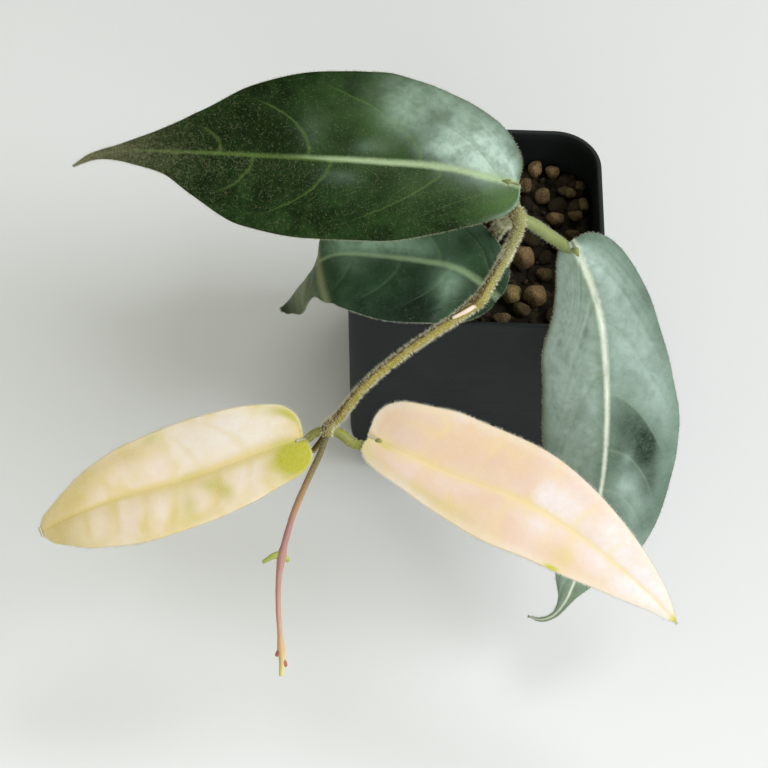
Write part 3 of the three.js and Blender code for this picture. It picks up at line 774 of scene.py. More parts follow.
def blade_group():
    """A blade's midrib, its side veins and the fine net between them, from its lines."""
    def build(shader, start):
        place = start["Vector"]
        uneven = shader.scaled(shader.noise(place, 900, 2, 0.6), 0.5, -0.25)
        midrib = shader.fade(shader.plus(shader.math("ABSOLUTE", start["Rib"]), uneven), 1.3, 0.1)
        wobble = shader.scaled(shader.noise(place, 260, 2, 0.6), 0.08, -0.04)
        beside = shader.math("PINGPONG", shader.plus(start["Phase"], wobble), 0.5)
        side = shader.fade(shader.times(beside, start["Pitch"]), start["Side width"], 0.0)
        clear = shader.fade(start["Margin"], 2.0, start["Vein reach"])
        swirl = shader.add("TexNoise", {"Vector": place, "Scale": 150.0}).outputs["Color"]
        bent = shader.add("VectorMath", {0: swirl, 1: (0.004, 0.004, 0.004)}, operation="MULTIPLY")
        spread = shader.add("VectorMath", {0: place, 1: bent.outputs[0]}).outputs[0]
        cells = shader.add("TexVoronoi", {"Vector": spread, "Scale": start["Cells"], "Randomness": 0.8},
                           feature="DISTANCE_TO_EDGE")
        net = shader.fade(cells.outputs["Distance"], start["Net width"], 0.0)
        return midrib, shader.times(side, clear), net
    names = ("Vector", "Rib", "Phase", "Margin", "Pitch", "Side width", "Vein reach", "Cells", "Net width")
    return group("Blade lines", names, ("Midrib", "Side", "Net"), build)


def plastic(settings):
    """Matt moulded plastic with fine grain, dust, rubbed streaks and painted shade that darkens it towards
    the foot.
    """
    def build(shader):
        place = shader.place()
        fine, broad = speckle(shader, place, 900.0)
        stretched = shader.add("Mapping", {"Vector": place, "Scale": (60, 60, 900)}).outputs[0]
        streaks = shader.noise(stretched, 1.0, 3, 0.6)
        return {
            "Base Color": shader.layered(
                settings.colour,
                (broad, tinted(settings.colour, 1.5)),
                (shader.fade(shader.noise(place, 1500, 2, 0.7), 0.66, 0.8, 0.0, 0.25), (0.22, 0.21, 0.19)),
                # Painted shade: the plastic darkens over its lowest 50 mm.
                (shader.fade(shader.parts(place)[2], 0.05, 0.0, 0.0, 0.6), tinted(settings.colour, 0.3)),
            ),
            "Roughness": shader.scaled(streaks, 0.18, 0.55),
            "Specular IOR Level": 0.2,
            "Normal": shader.bump(fine, 0.25, 0.15),
        }
    return material("Nursery pot plastic", build)


def clay(settings):
    """Baked clay: each granule has a tint of its own, with pores, darker patches at random and painted shade
    where its fine bumps dip.
    """
    def build(shader):
        place = shader.place()
        tint = shader.stored("tint")
        fine, broad = speckle(shader, place, 1600.0)
        plain = shader.mix(tint, settings.brown, settings.tan)
        half = shader.times(tint, 0.5)
        olive = shader.mix(half, plain, (0.26, 0.22, 0.07))
        pink = shader.mix(half, plain, (0.36, 0.19, 0.11))
        pores = shader.fade(shader.dots(place, 1100.0), 0.1, 0.4)
        return {
            "Base Color": shader.layered(
                olive,
                (shader.fade(shader.noise(place, 90, 1), 0.4, 0.6), pink),
                (shader.fade(broad, 0.3, 0.6, 0.5, 0.0), (0.03, 0.018, 0.012)),
                # Painted shade: darker where the fine bumps dip.
                (shader.fade(fine, 0.3, 0.6, 0.5, 0.0), (0.02, 0.012, 0.008)),
            ),
            "Roughness": 0.95,
            "Specular IOR Level": 0.2,
            "Normal": shader.bump(shader.plus(fine, pores), 0.8, 0.35),
        }
    return material("Clay granules", build)


def bark(settings):
    """A hairy golden stem, brown along its upper left side and towards its foot: older wood, and on the
    upper left side also painted shade away from the light.
    """
    def build(shader):
        place = shader.place()
        turn, share, _ = shader.parts(shader.add("UVMap", uv_map="blade").outputs[0])
        fine, broad = speckle(shader, place, 1400.0)
        around = shader.add("CombineXYZ", {0: shader.times(turn, 9.0), 1: share}).outputs[0]
        lines = shader.noise(around, 3.0, 2, 0.5)
        side = shader.plus(shader.stored("shade"), shader.scaled(broad, 0.5, -0.25))
        return {
            "Base Color": shader.layered(
                (0.27, 0.28, 0.12),
                (shader.fade(share, 0.52, 0.75), settings.gold),
                (shader.fade(lines, 0.4, 0.65, 0.0, 0.7), (0.20, 0.20, 0.045)),
                # Painted shade in part: the brown side faces away from the light.
                (shader.fade(side, 0.15, 0.9), settings.brown),
                (shader.fade(shader.dots(place, 1500.0), 0.3, 0.15, 0.0, 0.7), (0.05, 0.028, 0.012)),
            ),
            "Roughness": shader.scaled(fine, 0.2, 0.5),
            "Specular IOR Level": 0.2,
            "Normal": shader.bump(shader.plus(shader.times(lines, 1.5), fine), 0.6, 0.2),
        }
    return material("Stem bark", build)


def young_bark(settings):
    """The growing end, from green through tan to mauve and a yellow tip."""
    stops = (
        (0.0, (0.10, 0.09, 0.025)), (0.14, (0.17, 0.14, 0.05)), (0.3, (0.40, 0.22, 0.11)),
        (0.42, settings.young), (0.75, (0.52, 0.27, 0.22)), (0.9, (0.62, 0.42, 0.22)),
        (1.0, (0.68, 0.60, 0.22)),
    )

    def build(shader):
        place = shader.place()
        fine, broad = speckle(shader, place, 1600.0)
        age = shader.plus(shader.stored("shade"), shader.scaled(broad, 0.1, -0.05))
        ramp = shader.add("ValToRGB", {0: age})
        elements = ramp.color_ramp.elements
        for spot, colour in stops[2:]:
            elements.new(spot).color = (*colour, 1)
        for element, (spot, colour) in zip(elements, stops):
            element.position = spot
            element.color = (*colour, 1)
        dotted = shader.fade(shader.dots(place, 1900.0), 0.25, 0.1, 0.0, 0.4)
        return {
            "Base Color": shader.mix(dotted, ramp.outputs[0], (0.72, 0.55, 0.42)),
            "Roughness": shader.scaled(fine, 0.2, 0.42),
            "Subsurface Weight": 0.1,
            "Subsurface Radius": (0.002, 0.001, 0.0006),
            "Normal": shader.bump(fine, 0.5, 0.15),
        }
    return material("Young shoot", build)


def plain_growth(name, light, dark):
    """A small living surface, such as a leaf stalk or a scale, that varies between two colours."""
    def build(shader):
        fine, broad = speckle(shader, shader.place(), 1200.0)
        blend = shader.scaled(fine, 0.4, shader.scaled(broad, 0.9, -0.15))
        return {
            "Base Color": shader.mix(shader.plus(blend, 0.0, clamped=True), dark, light),
            "Roughness": shader.scaled(fine, 0.2, 0.45),
            "Subsurface Weight": 0.1,
            "Subsurface Radius": (0.001, 0.001, 0.0005),
            "Normal": shader.bump(fine, 0.5, 0.15),
        }
    return material(name, build)


def hair(name, colour):
    """Fine hairs, a little lighter and darker by place."""
    def build(shader):
        vary = shader.noise(shader.place(), 700, 1)
        return {
            "Base Color": shader.mix(vary, tinted(colour, 0.7), colour),
            "Roughness": 0.5,
            "Sheen Weight": 0.4,
        }
    return material(name, build)


def blade_inputs(shader, side_width, reach, cells, net_width):
    """What every blade's material reads: its lines, its tones and its lower face."""
    place = shader.place()
    lines = shader.parts(shader.add("Attribute", attribute_name="lines").outputs["Vector"])
    tones = shader.add("Attribute", attribute_name="tones").outputs
    split = shader.add("SeparateColor", {0: tones["Color"]}).outputs
    marks = use_group(shader, blade_group(), {
        "Vector": place, "Rib": lines[0], "Phase": lines[1], "Margin": lines[2],
        "Pitch": shader.stored("pitch"),
        "Side width": side_width, "Vein reach": reach, "Cells": cells, "Net width": net_width,
    })
    return place, lines, (*split[:3], tones["Alpha"]), shader.stored("under"), marks


def dark_blade(name, look):
    """A mature leaf: dark green with a soft pale haze of painted sheen, paler veins and a matt lower face.
    """
    def build(shader):
        place, lines, tones, under, marks = blade_inputs(shader, 0.95, 9.0, 240.0, 0.08)
        painted_sheen_share, deep, lively, warm = tones
        midrib, side, net = marks
        fine, broad = speckle(shader, place, 1500.0)
        middle = shader.noise(place, 140, 3, 0.6, 0.5)
        mottled = shader.noise(place, 520, 3, 0.65, 0.4)
        patches = shader.fade(shader.noise(place, 190, 2, 0.6, 0.3), 0.3, 0.6, 0.75, 1.1)
        # Painted sheen: a mottled pale haze that stands in for the lamps' reflection.
        painted_sheen_cloud = shader.times(painted_sheen_share, shader.fade(mottled, 0.25, 0.7, 0.7, 1.0))
        faint = shader.fade(lines[1], look["rib_run"] - 0.4, look["rib_run"] + 0.4)
        strength = shader.fade(faint, 0.0, 1.0, look["ribs"], 0.5)
        green = shader.layered(
            look["green"],
            (shader.fade(middle, 0.3, 0.7), look["light"]),
            (shader.times(lively, 0.7), look["lively"]),
            (shader.times(painted_sheen_cloud, patches, clamped=True), look["painted_sheen"]),
            (shader.times(deep, shader.fade(mottled, 0.2, 0.6, 0.7, 0.95)), look["deep"]),
            (shader.fade(fine, 0.4, 0.7, 0.0, 0.06), look["vein"]),
            (shader.times(net, 0.03), look["vein"]),
            (shader.times(side, look["veins"]), look["vein"]),
            (shader.times(midrib, strength), shader.mix(faint, look["rib"], look["vein"])),
            (shader.times(warm, 0.85), look["warm"]),
        )
        back = shader.mix(shader.times(midrib, 0.6), (0.12, 0.20, 0.09), (0.30, 0.36, 0.16))
        height = shader.plus(shader.times(fine, 0.5), shader.times(net, 0.3))
        return {
            "Base Color": shader.mix(under, green, back),
            "Roughness": shader.scaled(broad, 0.15, shader.scaled(under, 0.3, 0.3)),
            "Specular IOR Level": 0.07,
            "Normal": shader.bump(height, 0.35, 0.15),
        }
    return material(name, build)


def pale_blade(name, settings, look):
    """A new leaf: pink and cream patches, with a yellow green net and cream margins."""
    def build(shader):
        place, lines, tones, under, marks = blade_inputs(shader, 2.2, 3.6, look["cells"], 0.24)
        painted_sheen_share, deep, lively, warm = tones
        midrib, side, net = marks
        fine, broad = speckle(shader, place, 1500.0)
        middle = shader.noise(place, 130, 3, 0.6, 0.6)
        mottled = shader.noise(place, 420, 4, 0.7)
        uneven = shader.fade(shader.noise(place, 60, 2), 0.35, 0.65, 0.3, 1.0)
        bands = shader.times(shader.fade(lines[0], 1.0, -1.0, look["bands"] * 0.4, look["bands"]),
                             shader.fade(uneven, 0.3, 1.0, 0.4, 1.0))
        webbed = shader.times(net, shader.times(uneven, look["net"]))
        patchy = shader.fade(middle, 0.2, 0.8, 0.75, 1.0)
        height = shader.plus(shader.times(fine, 0.4), shader.times(broad, 0.8))
        return {
            "Base Color": shader.layered(
                look["base"],
                (shader.fade(middle, 0.3, 0.7), look["blush"]),
                (shader.times(deep, 0.8), look["deep"]),
                # The pale patches here and the fine flecks further down are painted sheen and painted light.
                (shader.times(painted_sheen_share, 0.95), look["painted_sheen"]),
                (shader.fade(lines[2], 3.0, 0.3, 0.0, 0.6), look["margin"]),
                (shader.fade(mottled, 0.35, 0.65, 0.25, 0.0), look["deep"]),
                (shader.times(side, bands), settings.net),
                (shader.fade(shader.math("ABSOLUTE", lines[0]), 2.6, 0.3, 0.0, look["bands"]), settings.net),
                (shader.times(webbed, shader.fade(painted_sheen_share, 0.2, 0.8, 1.0, 0.25)), settings.net),
                (shader.times(midrib, 0.3), settings.net),
                (shader.times(warm, shader.times(patchy, 0.8)), (0.68, 0.53, 0.16)),
                (lively, (0.54, 0.52, 0.02)),
                (shader.fade(fine, 0.3, 0.7, 0.0, 0.1), look["painted_sheen"]),
                (shader.times(under, 0.6), (0.85, 0.75, 0.55)),
            ),
            "Roughness": shader.scaled(broad, 0.15, 0.45),
            "Specular IOR Level": 0.3,
            "Subsurface Weight": 0.15,
            "Subsurface Radius": (0.002, 0.0015, 0.001),
            "Sheen Weight": look["sheen"],
            "Normal": shader.bump(height, 0.3, 0.2),
        }
    return material(name, build)


def round_off(bm, edges, radius, segments):
    bmesh.ops.bevel(bm, geom=edges, offset=radius * MM, offset_type="OFFSET", affect="EDGES",
                    segments=segments, profile=0.5, material=-1)


def rounded_box(bm, half_low, half_high, low, high, corner, segments):
    """A closed box with round upright corners, wider at one end."""
    made = bmesh.ops.create_cube(bm, size=1)
    for vert in made["verts"]:
        half = half_high if vert.co.z > 0 else half_low
        height = high if vert.co.z > 0 else low
        vert.co = Vector((math.copysign(half, vert.co.x), math.copysign(half, vert.co.y), height)) * MM
    upright = [edge for edge in bm.edges if abs(edge.verts[0].co.z - edge.verts[1].co.z) > MM]
    round_off(bm, upright, corner, segments)


def level_edges(bm, height):
    near = lambda vert: abs(vert.co.z - height * MM) < 1e-5
    return [edge for edge in bm.edges if near(edge.verts[0]) and near(edge.verts[1])]


def sink(bm, face, height, half_from, half_to):
    """Extrudes a level face straight to a height, and grows or shrinks it about the pot's axis."""
    made = bmesh.ops.extrude_face_region(bm, geom=[face, *face.edges, *face.verts])["geom"]
    scale = half_to / half_from
    for vert in [item for item in made if isinstance(item, bmesh.types.BMVert)]:
        vert.co = Vector((vert.co.x * scale, vert.co.y * scale, height * MM))
    return next(item for item in made if isinstance(item, bmesh.types.BMFace) and abs(item.normal.z) > 0.9)


def pot_half(settings, height):
    return settings.width / 2 * lerp(POT_TAPER, 1, height / settings.height)


class HOYA_OT_pot(bpy.types.Operator):
    """Makes the nursery pot"""

    bl_idname = "hoya.pot"
    bl_label = "Pot"

    def execute(self, context):
        settings = context.scene.hoya_pot
        bm = bmesh.new()
        height = settings.height
        rounded_box(bm, pot_half(settings, 0), pot_half(settings, height), 0, height, settings.corner, 14)
        round_off(bm, level_edges(bm, 0), POT_FOOT_ROUND, 8)
        bm.faces.ensure_lookup_table()
        top = max(bm.faces, key=lambda face: face.calc_center_median().z)
        bmesh.ops.inset_region(bm, faces=[top], thickness=settings.lip * MM, use_even_offset=True)
        mouth = pot_half(settings, height) - settings.lip
        under = height - POT_LIP_DEPTH
        inner = pot_half(settings, under) - settings.wall
        face = sink(bm, top, under, mouth, mouth)
        face = sink(bm, face, under - POT_LIP_SLOPE, mouth, inner)
        floor = pot_half(settings, POT_FLOOR) - settings.wall
        face = sink(bm, face, POT_FLOOR + POT_FOOT_ROUND, inner, floor)
        sink(bm, face, POT_FLOOR, floor, floor - POT_INNER_ROUND)
        round_off(bm, level_edges(bm, height), POT_RIM_ROUND, 3)
        bmesh.ops.recalc_face_normals(bm, faces=bm.faces)
        piece = publish("nursery_pot", bm, [plastic(settings)], ["pot"])
        self.drill(context, piece)
        piece.data.set_sharp_from_angle(angle=math.radians(POT_CRISP_ANGLE))
        return {"FINISHED"}

    def drill(self, context, piece):
        """Cuts the drainage holes through the floor."""
        cutter_mesh = bmesh.new()
        for x in (-DRAIN_OFFSET, DRAIN_OFFSET):
            for y in (-DRAIN_OFFSET, DRAIN_OFFSET):
                bmesh.ops.create_cone(cutter_mesh, cap_ends=True, segments=32, radius1=DRAIN_RADIUS * MM,
                                      radius2=DRAIN_RADIUS * MM, depth=POT_FLOOR * 4 * MM,
                                      matrix=Matrix.Translation(Vector((x, y, 0)) * MM))
        mesh = bpy.data.meshes.new("drills")
        cutter_mesh.to_mesh(mesh)
        cutter_mesh.free()
        cutter = bpy.data.objects.new("drills", mesh)
        context.scene.collection.objects.link(cutter)
        cut = piece.modifiers.new("drains", "BOOLEAN")
        cut.operation = "DIFFERENCE"
        cut.solver = "EXACT"
        cut.object = cutter
        context.view_layer.update()
        done = bpy.data.meshes.new_from_object(piece.evaluated_get(context.evaluated_depsgraph_get()))
        piece.modifiers.clear()
        piece.data = done
        done.name = piece.name
        bpy.data.objects.remove(cutter)


class HOYA_OT_granules(bpy.types.Operator):
    """Makes the bed and its clay granules"""

    bl_idname = "hoya.granules"
    bl_label = "Granules"

    def execute(self, context):
        settings = context.scene.hoya_substrate
        pot = context.scene.hoya_pot
        room = pot.wall + GAP
        bed = SOIL_TOP - BED_DROP
        low = POT_FLOOR + GAP
        bm = bmesh.new()
        rounded_box(bm, pot_half(pot, low) - room, pot_half(pot, bed) - room, low, bed, pot.corner - room, 8)
        round_off(bm, level_edges(bm, low), POT_INNER_ROUND, 2)
        tint = bm.verts.layers.float.new("tint")
        rand = random.Random(GRAIN_SEED)
        shapes = [self.stone(rand, 3) for _ in range(GRAIN_SHAPES)]
        crumbs = [self.stone(rand, 2) for _ in range(CRUMB_SHAPES)]
        for size, spot, turn, tone in [*self.seen(rand), *self.hidden(pot)]:
            spot = self.kept_in(pot, spot, max(size))
            matrix = Matrix.Translation(spot * MM) @ turn @ Matrix.Diagonal((*(size * MM), 1))
            for vert in stamp(bm, rand.choice(shapes), matrix):
                vert[tint] = tone
        half = pot_half(pot, bed) - room
        for _ in range(settings.fines):
            x, y = rand.uniform(-half, half), rand.uniform(-half, half)
            spot = Vector((x, y, bed + rand.uniform(*CRUMB_LIFT)))
            size = rand.uniform(*CRUMB_RADIUS)
            turn = Matrix.Rotation(rand.uniform(0, math.tau), 4, (rand.random(), rand.random(), 1))
            spot = self.kept_in(pot, spot, size)
            matrix = Matrix.Translation(spot * MM) @ turn @ Matrix.Scale(size * MM, 4)
            for vert in stamp(bm, rand.choice(crumbs), matrix):
                vert[tint] = rand.uniform(0, CRUMB_TINT)
        for shape in shapes + crumbs:
            bpy.data.meshes.remove(shape)
        publish("clay_granules", bm, [clay(settings)], ["substrate"])
        return {"FINISHED"}

    def stone(self, rand, level):
        """A broken stone of about unit radius, with flats and lumps."""
        shape = template(lambda bm: bmesh.ops.create_icosphere(bm, subdivisions=level, radius=1))
        ways = [Vector([rand.gauss(0, 1) for _ in range(3)]).normalized() for _ in range(STONE_FLATS)]
        depths = [rand.uniform(*FLAT_DEPTH) for _ in ways]
        shift = Vector((rand.uniform(0, 50), 0, 0))
        for vert in shape.vertices:
            way = vert.co.normalized()
            spot = way * (1 + noise.noise(way * 1.2 + shift) * 0.3)
            for flat, depth in zip(ways, depths):
                spot -= flat * max(spot.dot(flat) - depth, 0) * FLAT_STRENGTH
            vert.co = spot * (1 + noise.noise(way * 5 + shift) * 0.06)
        return shape

    def kept_in(self, pot, spot, reach):
        """The place moved so that a stone of that reach stays inside the pot's wall."""
        corner = pot.corner - pot.wall - GAP
        straight = pot_half(pot, spot.z) - pot.wall - GAP - corner
        past = Vector([math.copysign(max(abs(part) - straight, 0), part) for part in spot[:2]])
        room = corner - reach * 0.95
        if past.length <= room:
            return spot
        back = past * (1 - room / past.length)
        return spot - Vector((*back, 0))

    def seen(self, rand):
        """The granules that stand out in the open part of the pot."""
        for x, y, width, depth, lift, tone in SEEN_GRAINS:
            size = Vector((width, depth, (width + depth) * SEEN_THICKNESS)) * SEEN_HALF
            turn = Matrix.Rotation(rand.uniform(-0.4, 0.4), 4, "Z")
            yield size, Vector((x, y, SOIL_TOP + lift)), turn, tone

    def hidden(self, pot):
        """The granules around them, darker and lower, by the solids' own seeded rule."""
        draw = draws(GRAIN_SEED)
        between = lambda low, high: lerp(low, high, next(draw))
        rows = int(pot_half(pot, SOIL_TOP) // GRAIN_PITCH)
        for row in range(-rows, rows + 1):
            for column in range(-rows, rows + 1):
                stagger = GRAIN_PITCH / 2 if row % 2 else 0
                radius = between(*GRAIN_RADIUS)
                size = Vector([between(*GRAIN_STRETCH) for _ in range(3)]) * radius
                tilt = Matrix.Rotation(next(draw) * math.pi, 4, "X")
                turn = Matrix.Rotation(next(draw) * math.pi, 4, "Z") @ tilt
                x = column * GRAIN_PITCH + stagger + between(-GRAIN_SHIFT, GRAIN_SHIFT)
                y = row * GRAIN_PITCH + between(-GRAIN_SHIFT, GRAIN_SHIFT)
                z = SOIL_TOP - BED_DROP + radius * GRAIN_LIFT * next(draw)
                near = min(math.hypot(x - grain[0], y - grain[1]) for grain in SEEN_GRAINS)
                drop = BESIDE_DROP if near < BESIDE else HIDDEN_DROP
                tone = (row * 13 + column * 7) % 17 / 17 * HIDDEN_TINT
                yield size * HIDDEN_SIZE, Vector((x, y, z - drop)), turn, tone


def publish_hairs(name, groups, look):
    """Makes one piece of slim cones. The groups give each hair's root, way, length and radius."""
    def cone(bm):
        bmesh.ops.create_cone(bm, cap_ends=True, segments=3, radius1=1, radius2=0, depth=1,
                              matrix=Matrix.Translation((0, 0, 0.5)))
        bmesh.ops.remove_doubles(bm, verts=bm.verts, dist=1e-4)
    bm = bmesh.new()
    shape = template(cone)
    for root, way, length, radius in chain.from_iterable(groups):
        turn = way.to_track_quat("Z", "Y").to_matrix().to_4x4()
        size = Matrix.Diagonal((radius * MM, radius * MM, length * MM, 1))
        stamp(bm, shape, Matrix.Translation(root) @ turn @ size)
    bpy.data.meshes.remove(shape)
    publish(name, bm, [look])


def stem_hairs(route, count, longest, rand, low=0.0, high=1.0):
    """Roots and directions all round a stem."""
    for _ in range(count):
        share = rand.uniform(low, high)
        along = route.along(share)
        way = Quaternion(along, rand.uniform(0, math.tau)) @ along.orthogonal().normalized()
        root = (route.at(share) + way * route.radius(share) * 0.92) * MM
        bent = (way + along * rand.uniform(-0.5, 0.5)
                + Vector([rand.uniform(-0.3, 0.3) for _ in range(3)])).normalized()
        yield root, bent, longest * rand.uniform(0.5, 1), rand.uniform(*STEM_HAIR)


def mark_shade(bm, measure):
    """Stores at each point what measure(place, normal) gives, from 0 to 1."""
    layer = bm.verts.layers.float.new("shade")
    bm.normal_update()
    for vert in bm.verts:
        vert[layer] = clamp(measure(vert.co / MM, vert.normal))


class HOYA_OT_stem(bpy.types.Operator):
    """Makes the stem, its spur, its torn sheath and its hairs"""

    bl_idname = "hoya.stem"
    bl_label = "Stem"

    # The way the brown side faces. Its brown is partly the stem's own and partly painted shade on the side
    # away from the key light.
    BROWN_SHADED_SIDE = Vector((-0.75, 0.6, 0.1))
    # Brown spots at two nodes, each with its reach.
    BROWN_NODES = ((Vector((-40, -86, 97)), 16), (Vector((-2, -56, 115)), 4))

    def execute(self, context):
        settings = context.scene.hoya_stem
        route = Route(STEM_ROUTE)
        bm = bmesh.new()
        add_tube(bm, route, 28, 260, self.ridges)
        add_tube(bm, Route(SPUR_ROUTE), 12, 14, self.ridges)
        add_tube(bm, Route(SHEATH_ROUTE), 12, 16, flattened(0.25), 1)
        mark_shade(bm, self.woody_and_shaded)
        sheath = plain_growth("Torn sheath", (0.98, 0.90, 0.84), (0.74, 0.50, 0.34))
        publish("hoya_stem", bm, [bark(settings), sheath], ["stem"])
        rand = random.Random(7)
        longest = settings.hair_length
        low, high = NODE_RING
        rings = [
            stem_hairs(route, NODE_HAIRS, longest, rand, share + low, share + high) for share in NODE_SHARES
        ]
        foot = stem_hairs(route, FOOT_HAIRS, longest, rand, 0.12, 0.42)
        rest = stem_hairs(route, settings.hairs, longest, rand, 0.42)
        publish_hairs("stem_hairs", [foot, rest, *rings], hair("Stem hair", (0.98, 0.95, 0.66)))
        return {"FINISHED"}

    def ridges(self, share, turn):
        lumps = noise.noise((share * 60, math.cos(turn * math.tau), math.sin(turn * math.tau)))
        return 1 + 0.035 * math.cos(turn * math.tau * 5 + share * 9) + 0.05 * lumps

    def woody_and_shaded(self, spot, normal):
        """Browner on the upper left side, which is partly painted shade away from the light, more so past
        node 3, at the foot and at two nodes.
        """
        turned = normal.dot(self.BROWN_SHADED_SIDE)
        patch = noise.noise(spot * 0.15) * 0.25
        foot = clamp((100 - spot.z) / 10) if spot.y > -30 else 0
        node = sum(math.exp(-((spot - middle).length / reach) ** 2) for middle, reach in self.BROWN_NODES)
        older = clamp((-30 - spot.y) / 40)
        return clamp(0.42 + turned * lerp(0.5, 1.1, older) + patch) + foot * 0.7 + node * 0.45


class HOYA_OT_shoot(bpy.types.Operator):
    """Makes the growing end with its scales, buds and hairs"""

    bl_idname = "hoya.shoot"
    bl_label = "Shoot"

    def execute(self, context):
        settings = context.scene.hoya_stem
        route = Route(SHOOT_ROUTE)
        bm = bmesh.new()
        rough = lambda share, turn: 1 + 0.06 * noise.noise((share * 40, turn * 4, 0))
        add_tube(bm, route, 20, 150, rough)
        for scale in SCALE_ROUTES:
            add_tube(bm, Route(scale), 12, 14, flattened(0.2), 1)
        for bud in BUD_ROUTES:
            add_tube(bm, Route(bud), 12, 12, lambda share, turn: 0.9, 2)
        near, far = SHOOT_ROUTE[0][1], SHOOT_ROUTE[-1][1]
        mark_shade(bm, lambda spot, normal: (near - spot.y) / (near - far))
        scales = plain_growth("Green scale", (0.52, 0.58, 0.14), (0.20, 0.24, 0.03))
        buds = plain_growth("Red bud", (0.55, 0.20, 0.14), (0.30, 0.05, 0.08))
        publish("hoya_shoot", bm, [young_bark(settings), scales, buds], ["shoot"])
        rand = random.Random(11)
        older = stem_hairs(route, 500, 0.5, rand, 0.03, 0.3)
        younger = stem_hairs(route, 400, 0.28, rand, 0.3, 0.98)
        publish_hairs("shoot_hairs", [older, younger], hair("Shoot hair", (0.72, 0.62, 0.48)))
        return {"FINISHED"}


def relief(blade, settings, share, across, phase, soft):
    """How far the upper face stands above the smooth blade, in millimetres."""
    beside = abs(phase - round(phase))
    fade = clamp(share / 0.08) * clamp((1 - share) / 0.15) * clamp((1 - abs(across)) / 0.2)
    vein = -settings.vein_depth * math.exp(-(beside / 0.07) ** 2)
    quilt = settings.quilt * math.sin(math.pi * clamp(beside * 2)) * abs(across) ** 0.5
    groove = -0.3 * math.exp(-(across * blade.width(share, across) / 0.8) ** 2)
    ripple = 0.35 * noise.noise(blade.place(share, across) * 0.12)
    rise = (vein + quilt) * fade + groove * clamp((1 - share) / 0.2) + ripple * clamp(share / 0.1)
    return rise * soft


def make_blade(bm, blade, settings, soft):
    """A closed blade with its lines and tones stored at each point.

    Gives its upper faces, the layer of its lines and, for each edge of its margin, the two ends,
    the middle of the face beside it and that face's normal.
    """
    bm.loops.layers.uv.new("blade")
    lines = bm.verts.layers.float_vector.new("lines")
    spacing = bm.verts.layers.float.new("pitch")
    tones = bm.verts.layers.float_color.new("tones")
    under = bm.verts.layers.float.new("under")
    bmesh.ops.create_grid(bm, x_segments=BLADE_COLUMNS, y_segments=BLADE_ROWS, size=1, calc_uvs=True)
    heights = {}
    drops = {}
    for vert in bm.verts:
        across = math.copysign(abs(vert.co.x) ** CROWD_RIB, vert.co.x)
        share = clamp((vert.co.y + 1) / 2) ** CROWD_BASE
        width = blade.width(share, across)
        margin = (1 - abs(across)) * width
        end = min((1 - share) * blade.rib.length, share * blade.rib.length + 2)
        phase, pitch = blade.phase(share, across)
        vert[lines] = (across * width / lerp(1.45, 0.35, share), phase, min(margin, end))
        vert[spacing] = pitch
        vert[tones] = [blade.tone(name, share, across, phase) for name in TONES]
        heights[vert] = relief(blade, settings, share, across, phase, soft)
        keel = KEEL_DEPTH * (1 - share) * math.exp(-(across / KEEL_WIDTH) ** 2)
        body = lerp(settings.margin, settings.thickness, clamp(margin / 1.6) ** 0.6)
        drops[vert] = body + keel
        vert.co = blade.place(share, across) * MM
    bm.normal_update()
    upper = bm.faces[:]
    normals = {vert: vert.normal.copy() for vert in bm.verts}
    for vert, height in heights.items():
        vert.co += normals[vert] * height * MM
    copied = bmesh.ops.duplicate(bm, geom=bm.verts[:] + bm.edges[:] + bm.faces[:])
    for vert, drop in drops.items():
        twin = copied["vert_map"][vert]
        twin.co = vert.co - normals[vert] * drop * MM
        twin[under] = 1
    lower = [item for item in copied["geom"] if isinstance(item, bmesh.types.BMFace)]
    bmesh.ops.reverse_faces(bm, faces=lower)
    rim = [edge for edge in bm.edges if edge.is_boundary]
    margins = []
    for edge in rim:
        if edge.verts[0] in normals:
            one, two = [vert.co.copy() for vert in edge.verts]
            face = edge.link_faces[0]
            margins.append((one, two, face.calc_center_median(), face.normal.copy()))
    bmesh.ops.bridge_loops(bm, edges=rim)
    bm.normal_update()
    return upper, lines, margins


def margin_hairs(margins, longest, rand):
    """Hairs that stand out from the margin, in a fringe."""
    for _ in range(MARGIN_HAIRS):
        one, two, middle, normal = rand.choice(margins)
        edge = two - one
        out = edge.cross(normal).normalized()
        if out.dot(middle - one) > 0:
            out.negate()
        way = out + normal * rand.uniform(-0.5, 0.8) + edge.normalized() * rand.uniform(-0.6, 0.6)
        root = one.lerp(two, rand.random()) - out * 0.05 * MM
        yield root, way.normalized(), longest * rand.uniform(0.4, 1), rand.uniform(*MARGIN_HAIR)


def face_hairs(faces, lines, count, longest, density, rand):
    """Hairs that lie over the upper face, where density allows them."""
    made = 0
    while made < count:
        face = rand.choice(faces)
        one, two, three, four = [vert.co for vert in face.verts]
        if rand.random() > density(face.verts[0], lines):
            continue
        made += 1
        root = one.lerp(two, rand.random()).lerp(four.lerp(three, rand.random()), rand.random())
        turn = Quaternion(face.normal, rand.uniform(0, math.tau))
        flat = turn @ face.normal.orthogonal().normalized()
        way = (flat + face.normal * rand.uniform(0.05, 0.5)).normalized()
        yield root - face.normal * 0.03 * MM, way, longest * rand.uniform(0.4, 1), rand.uniform(*FACE_HAIR)


def evenly(vert, lines):
    return 1


def towards_tip(vert, lines):
    """Few hairs near the base, more past each of the first side veins and left of the rib."""
    return 0.08 + 0.8 * clamp(vert[lines].y / 4) ** 2 + 0.25 * clamp(-vert[lines].x)


def joint_rows(leaf, blade):
    """A short knob that carries the stalk's end up into the start of the rib."""
    *end, radius = leaf["stalk"][-1]
    radius *= 0.8
    along = blade.rib.along(0)
    below = along.cross(blade.face.cross(along).normalized()) * -0.2
    return (
        (*end, radius),
        (*(blade.rib.at(0) + below * 2), radius * 0.9),
        (*(blade.rib.at(0.02) + below * 4), radius * 0.4),
    )


def grooved(share, turn):
    """The shape of a leaf stalk, with a shallow groove along one side."""
    return 1 - 0.12 * math.exp(-((turn - 0.5) / 0.15) ** 2)


